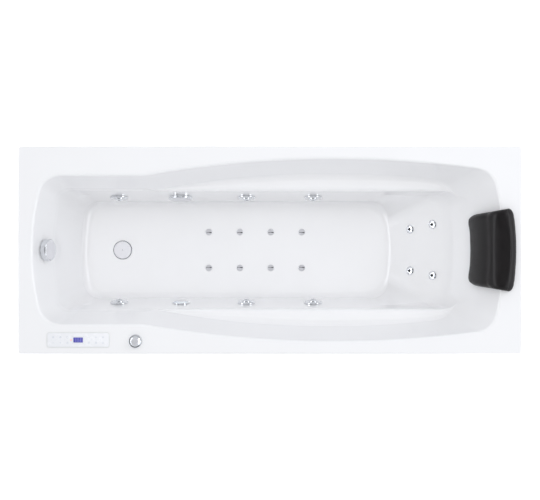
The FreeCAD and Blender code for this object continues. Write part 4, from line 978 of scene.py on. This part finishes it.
class BATHTUB_OT_wall_fittings(bpy.types.Operator):
    """Turn the suction fitting with its ribs, and the light with its frosted lens"""
    bl_idname = "bathtub.wall_fittings"
    bl_label = "Suction fitting and light"

    def execute(self, context):
        sizes = settings().bathtub_fittings
        dome = [(0, 11.4), (30, 11.3), (38.6, 10.6), (41.4, 8.6), (41.6, 0.4), (30, 0.4),
                (30, -5.6), (0, -5.6)]
        base = lathe("suction_dome", "chrome", dome, [SUCTION],
                     [0, 40, 5, 2, 0.6, 0.4, 0.4, 0])
        ribs = round_circle("suction_ribs", "chrome", [SUCTION], count=sizes.grille_ribs,
                            radius=40.6, length=3.6, width=sizes.rib_width / MM, height=9.4,
                            lift=5.2, tilt=0)
        # dark bars between the ribs: painted shade in the grille's slots, turned half a rib over
        slot_shades = round_circle("suction_slot_shade", "hole_shade", [SUCTION], count=sizes.grille_ribs,
                             radius=40.9, length=1.9, width=3.4, height=6.4, lift=5.0, tilt=0)
        turn = Matrix.Rotation(math.pi / sizes.grille_ribs, 4, SUCTION.to_3x3() @ Vector((0, 0, 1)))
        centre = SUCTION.translation * MM
        slot_shades.data.transform(Matrix.Translation(centre) @ turn @ Matrix.Translation(-centre))
        cap = lathe("suction_cap", "satin", [(0, 12), (34, 11.9), (35.6, 11.5), (35.6, 10.6),
                                             (0, 10.6)], [SUCTION], [0, 1, 0.8, 0.3, 0])
        placed(joined("suction_fitting", [base, ribs, slot_shades, cap]), "tub", "chrome_trim",
               "suction_grille")
        bezel = [(26.3, 0.5), (26.3, 2.8), (27.6, 4.6), (30.2, 4.9), (31.9, 3.4), (31.9, 0.4),
                 (23.9, 0.4), (23.9, -4), (23.9, -51), (8, -51), (8, -50), (22, -48), (22, -1),
                 (25, -0.6)]
        ring = lathe("light_ring", "chrome", bezel, [LIGHT],
                     [0, 0.6, 1.4, 1.6, 1.4, 0.4, 0.4, 1, 1, 0.4, 0.4, 1, 0.4, 0.2], True)
        placed(ring, "tub", "chrome_trim", "light_body")
        lens = [(0, 5.4), (14, 4.9), (23, 3.6), (25.9, 2.2), (25.9, 0.6), (0, 0.6)]
        placed(lathe("light_glass", "lens", lens, [LIGHT], [0, 30, 12, 1, 0.3, 0]), "tub",
               "light_lens", "light_lens")
        return {"FINISHED"}


class BATHTUB_OT_basin_jets(bpy.types.Operator):
    """Turn the air jets in the floor and the small jets in the backrest"""
    bl_idname = "bathtub.basin_jets"
    bl_label = "Floor and back jets"

    def execute(self, context):
        cap = [(0, 3.3), (8, 3.25), (11.4, 2.7), (12.5, 1.2), (12.5, 0.35), (8, 0.35), (8, -26),
               (0, -26)]
        caps = lathe("jet_cap", "satin", cap, FLOOR_JETS, [0, 10, 4, 0.8, 0.2, 0.3, 0.5, 0],
                     segments=48)
        # the dark line across a cap is painted shade for the gap that the air leaves by: bowed,
        # wide at one end
        slot_shades = []
        for spot in FLOOR_JETS:
            x, y, unused = spot.translation
            inward = -math.copysign(1.4, y)
            for start, end, width in ((-10, 3, 1.5), (3, 10.4, 3.0)):
                line = [(x + along, y + inward * (1 + (along / 12) ** 2))
                        for along in np.linspace(start, end, 9)]
                slot_shades.append(band(line, width, FLOOR + 2.2, FLOOR + 3.36))
        marks = merged("jet_cap_gap_shade", slot_shades, "hole_shade")
        placed(joined("floor_jet_covers", [caps, marks]), "tub", "chrome_trim",
               "floor_jet_caps")
        face = [(0, 2.2), (5.2, 2.2), (5.2, 5.4), (7.4, 6), (12, 5.2), (16.3, 2.2),
                (16.3, 0.6), (10.9, 0.6), (10.9, -28), (0, -28)]
        faces = lathe("back_jet_face", "chrome", face, BACK_JETS,
                      [0, 0, 0.5, 1.6, 6, 1, 0.3, 0.3, 0.5, 0])
        # dark discs in the jets' eyes: painted shade in their openings
        back_hole_shades = lathe("back_jet_eye_shade", "hole_shade", [(0, 2.3), (5.1, 2.3), (5.15, 4.8), (4.9, 4.8),
                                                (4.8, 2.9), (0, 2.9)], BACK_JETS)
        placed(joined("back_jet_eyes", [faces, back_hole_shades]), "tub", "chrome_trim", "back_jet_faces")
        return {"FINISHED"}


class BATHTUB_OT_drain(bpy.types.Operator):
    """Turn the drain, its plug, and the overflow with its knob"""
    bl_idname = "bathtub.drain"
    bl_label = "Drain and overflow"

    def execute(self, context):
        flange = [(25.6, -30), (25.6, 0.35), (36, 0.35), (36, 1.4), (35, 2.5), (34.2, 2.4),
                  (33.5, 0.9), (23.2, 0.5), (23.2, -30)]
        placed(lathe("drain_ring", "chrome", flange, [DRAIN],
                     [0.3, 0.3, 0.2, 0.8, 0.8, 0.5, 0.5, 1, 0.3], True, segments=96),
               "tub", "chrome_trim", "drain_flange")
        plug = [(0, 7.9), (3, 7.85), (22, 7.5), (30.6, 6.6), (33, 4.6), (32.6, 2.95),
                (5, 2.95), (5, -31), (0, -31)]
        # the cap's pale white is a painted reflection of the tub in its plating
        cap = lathe("drain_plug_cap", "enamel", plug, [DRAIN],
                    [0, 1, 60, 6, 1.2, 0.5, 1, 1, 0], segments=96)
        dot = lathe("drain_plug_dot", "chrome", [(0, 8.35), (1.2, 8.2), (1.9, 7.7), (0, 7.6)],
                    [DRAIN], [0, 0.8, 0.3, 0], segments=32)
        placed(joined("drain_cap", [cap, dot]), "plug", "chrome_trim", "drain_plug")
        plate = [(8, 1.4), (33.9, 1.4), (33.9, 3.2), (32.4, 4.2), (8, 4.2)]
        placed(lathe("overflow_backplate", "chrome", plate, [OVERFLOW],
                     [0.2, 0.3, 0.8, 0.8, 0.2], True, segments=96),
               "tub", "chrome_trim", "overflow_plate")
        knob = [(0, 24.2), (30, 24.6), (35.4, 24.9), (37.9, 22), (37.9, 6.4), (36.6, 4.7),
                (6.5, 4.7), (6.5, -20), (0, -20)]
        body = lathe("overflow_dial", "chrome", knob, [OVERFLOW],
                     [0, 10, 1.5, 2.6, 1.5, 0.6, 0.6, 0.5, 0], segments=96)
        face = lathe("overflow_face", "satin", [(0, 25), (31.5, 25), (32.3, 24.9), (32.6, 24.5),
                                                (0, 24.0)], [OVERFLOW], [0, 0.4, 0.3, 0.2, 0],
                     segments=96)
        placed(joined("overflow_control_knob", [body, face]), "overflow_control",
               "chrome_trim", "overflow_knob")
        dress("cable", "plug_cable")
        dress("black", "waste_pipes")
        return {"FINISHED"}


# ---------------------------------------------------------------- controls on the rim
PANEL_X, PANEL_Y = -647.0, -303.5               # middle of the control panel
PANEL_LENGTH, PANEL_WIDTH = 213.0, 52.0
PRINT = (TOP + 3.36, TOP + 3.46)                # bottom and top of a printed mark
LIT = (TOP + 3.66, TOP + 3.7)                   # bottom and top of a lit segment
ICON_FIRST, ICON_PITCH, ICON_ROW = 36, 24, 9.5  # icons from the panel's middle
DOT_FIRST, DOT_PITCH = 30, 15                   # the row of dots between them
SEGMENT_X, SEGMENT_Y, SEGMENT_HALF = (-8, 0, 8), (-4.1, 0, 4.1), 1.9


def rounded_rectangle(half_x, half_y, corner, count=8):
    """Corner points of a rounded rectangle about the origin, anticlockwise."""
    points = []
    for quarter, (sx, sy) in enumerate(((1, 1), (-1, 1), (-1, -1), (1, -1))):
        for k in range(count + 1):
            angle = math.pi / 2 * (quarter + k / count)
            points.append((sx * (half_x - corner) + corner * math.cos(angle),
                           sy * (half_y - corner) + corner * math.sin(angle)))
    return points


def tablet(size, corner, low, high, edge):
    """Points and faces of a rounded plate on the panel's place, its top edge rounded."""
    rings = [(0, low), (0, high - edge), (edge * 0.3, high - edge * 0.3), (edge, high)]
    points, faces = [], []
    for inset, z in rings:
        ring = rounded_rectangle(size[0] / 2 - inset, size[1] / 2 - inset,
                                 max(corner - inset, 0.15))
        points += [(PANEL_X + x, PANEL_Y + y, TOP + z) for x, y in ring]
    count = len(ring)
    for i in range(len(rings) - 1):
        for k in range(count):
            j = (k + 1) % count
            faces.append((i * count + k, i * count + j, (i + 1) * count + j,
                          (i + 1) * count + k))
    faces.append(tuple(reversed(range(count))))
    faces.append(tuple(range((len(rings) - 1) * count, len(rings) * count)))
    return points, faces


def band(points, width, low, high):
    """A flat closed band of a width along a line of (x, y) points, for a printed mark."""
    made, faces = [], []
    closed = math.dist(points[0], points[-1]) < 1e-6
    line = points[:-1] if closed else points
    last = len(line)
    for k, (x, y) in enumerate(line):
        before = line[(k - 1) % last] if closed or k else line[k]
        after = line[(k + 1) % last] if closed or k < last - 1 else line[k]
        along = Vector((after[0] - before[0], after[1] - before[1])).normalized()
        across = Vector((-along.y, along.x)) * width / 2
        for side in (1, -1):
            for z in (low, high):
                made.append((x + side * across.x, y + side * across.y, z))
    for k in range(last if closed else last - 1):
        a, b = 4 * k, 4 * ((k + 1) % last)
        for first, second in ((0, 1), (1, 3), (3, 2), (2, 0)):
            faces.append((a + first, b + first, b + second, a + second))
    if not closed:
        faces.append((0, 1, 3, 2))
        end = 4 * (last - 1)
        faces.append((end, end + 2, end + 3, end + 1))
    return made, faces


def ring_line(x, y, radius, start=0, end=360, count=20):
    """Points along part of a circle, between two angles in degrees."""
    return [(x + radius * math.cos(math.radians(start + (end - start) * k / count)),
             y + radius * math.sin(math.radians(start + (end - start) * k / count)))
            for k in range(count + 1)]


def icon_lines(kind, x, y):
    """The strokes of one plain icon about a place: lines of (x, y) points."""
    if kind == 0:       # on and off
        return [ring_line(x, y, 3.1, 120, 420), [(x, y + 1.2), (x, y + 4.2)]]
    if kind == 1:       # bubbles
        return [ring_line(x + dx, y + dy, radius) for dx, dy, radius in
                ((-1.8, -1.4, 1.5), (1.9, -0.6, 1.9), (-0.2, 2.5, 1.2))]
    if kind == 2:       # waves
        return [[(x - 3.6 + 0.6 * k, y + dy + 0.9 * math.sin(k * 1.05)) for k in range(13)]
                for dy in (-2, 0.4, 2.8)]
    if kind == 3:       # light
        return [ring_line(x, y, 1.7)] + [
            [(x + 2.6 * math.cos(turn), y + 2.6 * math.sin(turn)),
             (x + 3.9 * math.cos(turn), y + 3.9 * math.sin(turn))]
            for turn in [math.pi / 4 * k for k in range(8)]]
    strokes = [[(x - 3.4, y), (x + 3.4, y)]]        # less
    if kind == 4:                                   # more
        strokes.append([(x, y - 3.4), (x, y + 3.4)])
    return strokes


def panel_marks():
    """The printed icons, dots and window outline of the control panel."""
    marks = []
    for side in (-1, 1):
        for k in range(6):
            x = PANEL_X + side * (ICON_FIRST + ICON_PITCH * (k % 3))
            y = PANEL_Y + (ICON_ROW if k < 3 else -ICON_ROW)
            for line in icon_lines(k if side < 0 else 5 - k, x, y):
                marks.append(band(line, 0.7, *PRINT))
        for k in range(5):
            x = PANEL_X + side * (DOT_FIRST + DOT_PITCH * k)
            marks.append(band(ring_line(x, PANEL_Y, 0.45), 0.5, *PRINT))
    outline = [(PANEL_X + x, PANEL_Y + y) for x, y in rounded_rectangle(19.6, 12.4, 3)]
    marks.append(band(outline + outline[:1], 0.6, *PRINT))
    return merged("panel_marks", marks, "ink")


class BATHTUB_OT_controls(bpy.types.Operator):
    """Make the control panel with its display and marks, and the air control"""
    bl_idname = "bathtub.controls"
    bl_label = "Rim controls"

    def execute(self, context):
        rim = merged("panel_rim", [
            tablet((PANEL_LENGTH, PANEL_WIDTH), 8, 0.3, 2.7, 0.9),
            tablet((PANEL_LENGTH - 26, PANEL_WIDTH - 14), 2, -22, 0.5, 0.3)], "white")
        placed(rim, "tub", "white_plastic", "keypad_housing")
        film = merged("panel_face", [tablet((PANEL_LENGTH - 6, PANEL_WIDTH - 6), 5, 2.75, 3.4,
                                            0.3)], "film")
        lamp = lathe("panel_lamp", "red", [(0, 4.5), (1.0, 4.3), (1.6, 3.8), (1.6, 3.2),
                                           (0, 3.2)], [aimed((-671, PANEL_Y, TOP), (0, 0, 1))],
                     [0, 0.8, 0.4, 0, 0], segments=24)
        placed(joined("control_panel_face", [film, panel_marks(), lamp]), "tub",
               "white_plastic", "keypad_film")
        pane = merged("display_pane", [tablet((32.4, 17.4), 1.6, 3.1, 3.68, 0.2)], "display")
        digits = [band([(PANEL_X + dx - SEGMENT_HALF, PANEL_Y + dy),
                        (PANEL_X + dx + SEGMENT_HALF, PANEL_Y + dy)], 0.55, *LIT)
                  for dx in SEGMENT_X for dy in SEGMENT_Y]
        lit = merged("display_bars", digits, "segments")
        placed(joined("display_screen", [pane, lit]), "tub", "display_glass",
               "display_window")
        body = [(6.5, 3.7), (21.5, 3.7), (22.9, 2.4), (22.9, 0.35), (14, 0.35), (14, -64),
                (8.5, -64), (8.5, -20), (6.5, -20)]
        placed(lathe("air_control_base", "chrome", body, [AIR_KNOB],
                     [0.3, 0.8, 1, 0.4, 0.4, 1, 0.4, 0.4, 0.4], True),
               "tub", "chrome_trim", "air_control_body")
        knob = [(0, 25.2), (12.6, 25.4), (15, 24), (15, 14.5), (17.5, 12.8), (21.4, 12.2),
                (22.9, 10), (22.4, 4.7), (6, 4.5), (6, -12), (0, -12)]
        dial = lathe("air_dial", "chrome", knob, [AIR_KNOB],
                     [0, 0.6, 1.6, 1.2, 1.5, 1.2, 1.4, 0.5, 0.5, 0.4, 0])
        cap = lathe("air_dial_cap", "satin", [(0, 26), (11.6, 26), (12.4, 25.3), (12.2, 24.9),
                                              (0, 24.9)], [AIR_KNOB], [0, 0.6, 0.4, 0.2, 0])
        # dark bars round the dial: painted shade in its grip notches
        notch_shades = round_circle("air_dial_notch_shade", "hole_shade", [AIR_KNOB], count=16, radius=22.1,
                             length=1.6, width=2.2, height=4.6, lift=8.3, tilt=0.0)
        placed(joined("air_control_dial", [dial, cap, notch_shades]), "air_control", "chrome_trim",
               "air_knob")
        return {"FINISHED"}


# ---------------------------------------------------------------- head cushion
CUSHION_CENTRE = -150.0     # middle of the arcs that the cushion follows, along the tub
SEAM_RADIUS, SEAM_THICK, SEAM_TURN = 954, 0.0012, 8.2
FILLING_FRAMES = 20         # steps that the filling takes to settle


def loose_copy(node_name, name):
    """A merged copy of a solid's mesh, in metres, with its normals outward."""
    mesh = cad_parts[node_name].data.copy()
    mesh.name = name
    work = bmesh.new()
    work.from_mesh(mesh)
    bmesh.ops.remove_doubles(work, verts=work.verts, dist=SAME_PLACE)
    bmesh.ops.recalc_face_normals(work, faces=work.faces)
    work.to_mesh(mesh)
    work.free()
    mesh.materials.clear()
    return linked(name, mesh)


def softened(mesh, key):
    """Give a mesh one finish, and shade all of it smooth."""
    mesh.materials.append(material(key))
    for polygon in mesh.polygons:
        polygon.use_smooth = True
        polygon.material_index = 0


def vectors(mesh, attribute):
    """The vertices' places or normals, as rows of three."""
    values = np.empty(len(mesh.vertices) * 3)
    mesh.vertices.foreach_get(attribute, values)
    return values.reshape(-1, 3)


def filled(piece):
    """Blow the cover up a little with cloth pressure, no further than the swell."""
    sizes = settings().bathtub_cushion
    remesh = piece.modifiers.new("cover", "REMESH")
    remesh.mode = "VOXEL"
    remesh.voxel_size = sizes.voxel
    settle(piece)
    normals = vectors(piece.data, "normal")
    start = vectors(piece.data, "co") - normals * sizes.shrink
    piece.data.vertices.foreach_set("co", start.ravel())
    end = start + normals * sizes.swell * 0.6
    cloth = piece.modifiers.new("filling", "CLOTH")
    cloth.settings.use_pressure = True
    cloth.settings.uniform_pressure_force = sizes.pressure
    cloth.settings.effector_weights.gravity = 0
    cloth.point_cache.frame_start = 1
    cloth.point_cache.frame_end = FILLING_FRAMES
    for step in range(1, FILLING_FRAMES + 1):
        bpy.context.scene.frame_set(step)
    graph = bpy.context.evaluated_depsgraph_get()
    end = vectors(bpy.data.meshes.new_from_object(piece.evaluated_get(graph)), "co")
    piece.modifiers.clear()
    bpy.context.scene.frame_set(1)
    move = end - start
    far = np.linalg.norm(move, axis=1, keepdims=True)
    move *= np.minimum(1.0, sizes.swell / np.maximum(far, 1e-9))
    piece.data.vertices.foreach_set("co", (start + move).ravel())
    piece.data.update()
    return piece


def sewn_seam(cover):
    """A raised seam laid on the cover, along an arc about the cushion's centre."""
    tree = BVHTree.FromObject(cover, bpy.context.evaluated_depsgraph_get())
    line = []
    for degrees in np.linspace(-SEAM_TURN, SEAM_TURN, 60):
        turn = math.radians(degrees)
        above = Vector(((CUSHION_CENTRE + SEAM_RADIUS * math.cos(turn)) * MM,
                        SEAM_RADIUS * math.sin(turn) * MM, 0.8))
        hit = tree.ray_cast(above, Vector((0, 0, -1)))[0]
        if hit is not None and hit.z > (TOP + 15) * MM:
            line.append(hit)
    curve = bpy.data.curves.new("seam_line", "CURVE")
    curve.dimensions = "3D"
    curve.bevel_depth = SEAM_THICK
    curve.bevel_resolution = 3
    curve.use_fill_caps = True
    run = curve.splines.new("POLY")
    run.points.add(len(line) - 1)
    for point, place in zip(run.points, line):
        point.co = (*place, 1)
    holder = linked("seam_line", curve)
    graph = bpy.context.evaluated_depsgraph_get()
    mesh = bpy.data.meshes.new_from_object(holder.evaluated_get(graph))
    bpy.data.objects.remove(holder)
    mesh.materials.clear()
    softened(mesh, "thread")
    return linked("cushion_seam", mesh)


class BATHTUB_OT_cushion(bpy.types.Operator):
    """Blow up the head cushion's cover, and sew the seam of its back roll on"""
    bl_idname = "bathtub.cushion"
    bl_label = "Head cushion"

    def execute(self, context):
        cover = filled(loose_copy("pillow", "head_cushion"))
        softened(cover.data, "leather")
        smooth = cover.modifiers.new("relax", "SMOOTH")
        smooth.factor = 0.5
        smooth.iterations = 40
        fill_out = cover.modifiers.new("fill_out", "DISPLACE")
        fill_out.strength = 0.0022
        fill_out.mid_level = 0
        finer = cover.modifiers.new("finer", "SUBSURF")
        finer.levels = finer.render_levels = 1
        settle(cover)
        seam = sewn_seam(cover)
        placed(cover, "cushion", "black_foam", "pillow")
        placed(seam, "cushion", "black_foam")
        dress("black", "pillow_pins")
        return {"FINISHED"}


# ---------------------------------------------------------------- what stands underneath
class BATHTUB_OT_plumbing(bpy.types.Operator):
    """Finish the pipes, jet bodies, blower, pump and electronics under the shell"""
    bl_idname = "bathtub.plumbing"
    bl_label = "Plumbing, pump and blower"

    def execute(self, context):
        dress("pipe", "side_jet_bodies", "pressure_pipes", "venturi_air_pipes", "suction_pipe",
              "floor_air_header")
        dress("black", "blower_fan", "blower_lid", "fan_cowl")
        dress("motor", "motor_body")
        dress("rotor", "pump_rotor")
        dress("white", "control_box", "control_box_lid")
        dress("cable", "control_cables")
        return {"FINISHED"}


class BATHTUB_OT_support(bpy.types.Operator):
    """Finish the board, the frame and its levelling feet"""
    bl_idname = "bathtub.support"
    bl_label = "Board, frame and feet"

    def execute(self, context):
        dress("board", "base_board")
        dress("steel", "support_frame")
        dress("zinc", "levelling_foot_1", "levelling_foot_2", "levelling_foot_3",
              "levelling_foot_4")
        return {"FINISHED"}


# ---------------------------------------------------------------- stage
FLOOR_HALF = 6.0            # half of the floor's side, in metres
# what is mirrored in the chrome and the acrylic: level against the height of the view
ROOM = ((0.0, 0.95), (0.6, 0.85), (0.74, 0.7), (0.8, 0.1), (0.91, 0.1), (0.94, 0.62))
PANES = ((0.0, 0.0), (0.34, 0.0), (0.37, 1.0), (0.63, 1.0), (0.67, 0.0))
PANES_ACROSS = (0.55, 0.72)     # the panes are only to head and foot: share of a view along X
SENSOR = 36.0


def backdrop_material(name, code, glow):
    """A pale matt floor whose own light shows only to the camera and in reflections."""
    made, tree, shader = finish_of(name, code, 0.7)
    path = node(tree, "ShaderNodeLightPath")
    seen = node(tree, "ShaderNodeMath", {"operation": "MAXIMUM"},
                {0: path.outputs["Is Camera Ray"], 1: path.outputs["Is Glossy Ray"]})
    clear = node(tree, "ShaderNodeMath", {"operation": "MAXIMUM"},
                 {0: seen.outputs["Value"], 1: path.outputs["Is Transmission Ray"]})
    level = node(tree, "ShaderNodeMath", {"operation": "MULTIPLY"},
                 {0: clear.outputs["Value"], 1: glow})
    shader.inputs["Emission Color"].default_value = linear("#ffffff")
    tree.links.new(level.outputs["Value"], shader.inputs["Emission Strength"])
    return made


def studio_world(sizes):
    """A soft room: white to the camera, a little duller as light, with panes in mirrors."""
    world = bpy.data.worlds.new("soft_studio")
    world.use_nodes = True
    tree = world.node_tree
    ground = tree.nodes["Background"]
    path = node(tree, "ShaderNodeLightPath")
    place = node(tree, "ShaderNodeTexCoord")
    view = node(tree, "ShaderNodeSeparateXYZ", None, {"Vector": place.outputs["Generated"]})
    levels = []
    for stops in (ROOM, PANES):
        ramp = node(tree, "ShaderNodeValToRGB", None, {"Fac": view.outputs["Z"]})
        for position, level in stops[1:-1]:
            ramp.color_ramp.elements.new(position).color = (level, level, level, 1)
        for stop, (position, level) in ((ramp.color_ramp.elements[0], stops[0]),
                                        (ramp.color_ramp.elements[-1], stops[-1])):
            stop.color = (level, level, level, 1)
            stop.position = position
        levels.append(ramp.outputs["Color"])
    along = node(tree, "ShaderNodeMath", {"operation": "ABSOLUTE"}, {0: view.outputs["X"]})
    ends = node(tree, "ShaderNodeMapRange", None,
                {"Value": along.outputs["Value"], "From Min": PANES_ACROSS[0],
                 "From Max": PANES_ACROSS[1], "To Min": 0.0, "To Max": sizes.panes})
    glare = node(tree, "ShaderNodeMath", {"operation": "MULTIPLY_ADD"},
                 {0: levels[1], 1: ends.outputs["Result"], 2: levels[0]})
    ground.inputs["Color"].default_value = linear("#f1f3f7")
    soft = node(tree, "ShaderNodeMapRange", None,
                {"Value": path.outputs["Is Camera Ray"], "To Min": sizes.sky, "To Max": 1.0})
    seen = node(tree, "ShaderNodeMix", {"data_type": "FLOAT"},
                {"Factor": path.outputs["Is Glossy Ray"], "A": soft.outputs["Result"],
                 "B": glare.outputs["Value"]})
    tree.links.new(seen.outputs["Result"], ground.inputs["Strength"])
    return world


class BATHTUB_OT_stage(bpy.types.Operator):
    """Set the pale floor, the soft studio light and the camera"""
    bl_idname = "bathtub.stage"
    bl_label = "Floor, light and camera"

    def execute(self, context):
        sizes = settings().bathtub_stage
        mesh = bpy.data.meshes.new("stage_floor")
        mesh.from_pydata([(x * FLOOR_HALF, y * FLOOR_HALF, 0)
                          for x, y in ((-1, -1), (1, -1), (1, 1), (-1, 1))], [], [(0, 1, 2, 3)])
        mesh.materials.append(backdrop_material("pale_floor", "#f4f4f5", 0.45))
        linked("stage_floor", mesh)
        bpy.context.scene.world = studio_world(sizes)
        rim = TOP * MM
        for name, place, size, power, tone in (
                ("overhead", (0.25, 0.35, rim + 4.2), 3.4, sizes.key_power, "#fffdf9"),
                ("from_head", (2.6, 1.6, rim + 2.4), 1.6, sizes.side_power, "#f2f6ff")):
            light = bpy.data.lights.new(name, "AREA")
            light.shape = "DISK"
            light.size = size
            light.energy = power
            light.color = linear(tone)[:3]
            lamp = linked(name, light)
            lamp.location = place
            aim = Vector((0, 0, rim - 0.2)) - Vector(place)
            lamp.rotation_euler = aim.to_track_quat("-Z", "Y").to_euler()
            lamp.visible_glossy = False
        lens = bpy.data.cameras.new("camera")
        lens.sensor_width = SENSOR
        lens.lens = SENSOR * sizes.camera_height / sizes.frame_width
        lens.clip_end = 50.0
        camera = linked("camera", lens)
        camera.location = (0, 0, rim + sizes.camera_height)
        bpy.context.scene.camera = camera
        bpy.context.scene.view_settings.view_transform = "Standard"
        return {"FINISHED"}


# ---------------------------------------------------------------- add-on
STEPS = (
    ("shell", BATHTUB_OT_shell), ("side_jets", BATHTUB_OT_side_jets),
    ("wall_fittings", BATHTUB_OT_wall_fittings), ("basin_jets", BATHTUB_OT_basin_jets),
    ("drain", BATHTUB_OT_drain), ("controls", BATHTUB_OT_controls),
    ("cushion", BATHTUB_OT_cushion), ("plumbing", BATHTUB_OT_plumbing),
    ("support", BATHTUB_OT_support), ("stage", BATHTUB_OT_stage),
)
GROUPS = (
    ("bathtub_shell", TubSizes), ("bathtub_fittings", FittingSizes),
    ("bathtub_cushion", CushionSizes), ("bathtub_colours", Colours),
    ("bathtub_stage", StageSizes),
)


class BATHTUB_PT_panel(bpy.types.Panel):
    """The bathtub's pieces and their sizes"""
    bl_idname = "BATHTUB_PT_panel"
    bl_label = "Jetted bathtub"
    bl_space_type = "VIEW_3D"
    bl_region_type = "UI"
    bl_category = "Bathtub"

    def draw(self, context):
        layout = self.layout
        for key, group in GROUPS:
            box = layout.box()
            for name in group.__annotations__:
                box.prop(getattr(context.scene, key), name)
        for key, step in STEPS:
            layout.operator(step.bl_idname)


def register():
    for key, group in GROUPS:
        bpy.utils.register_class(group)
        setattr(bpy.types.Scene, key, PointerProperty(type=group))
    for key, step in STEPS:
        bpy.utils.register_class(step)
    bpy.utils.register_class(BATHTUB_PT_panel)


def unregister():
    bpy.utils.unregister_class(BATHTUB_PT_panel)
    for key, step in reversed(STEPS):
        bpy.utils.unregister_class(step)
    for key, group in reversed(GROUPS):
        delattr(bpy.types.Scene, key)
        bpy.utils.unregister_class(group)


def main():
    register()
    for key, step in STEPS:
        getattr(bpy.ops.bathtub, key)()


if __name__ == "__main__":
    main()
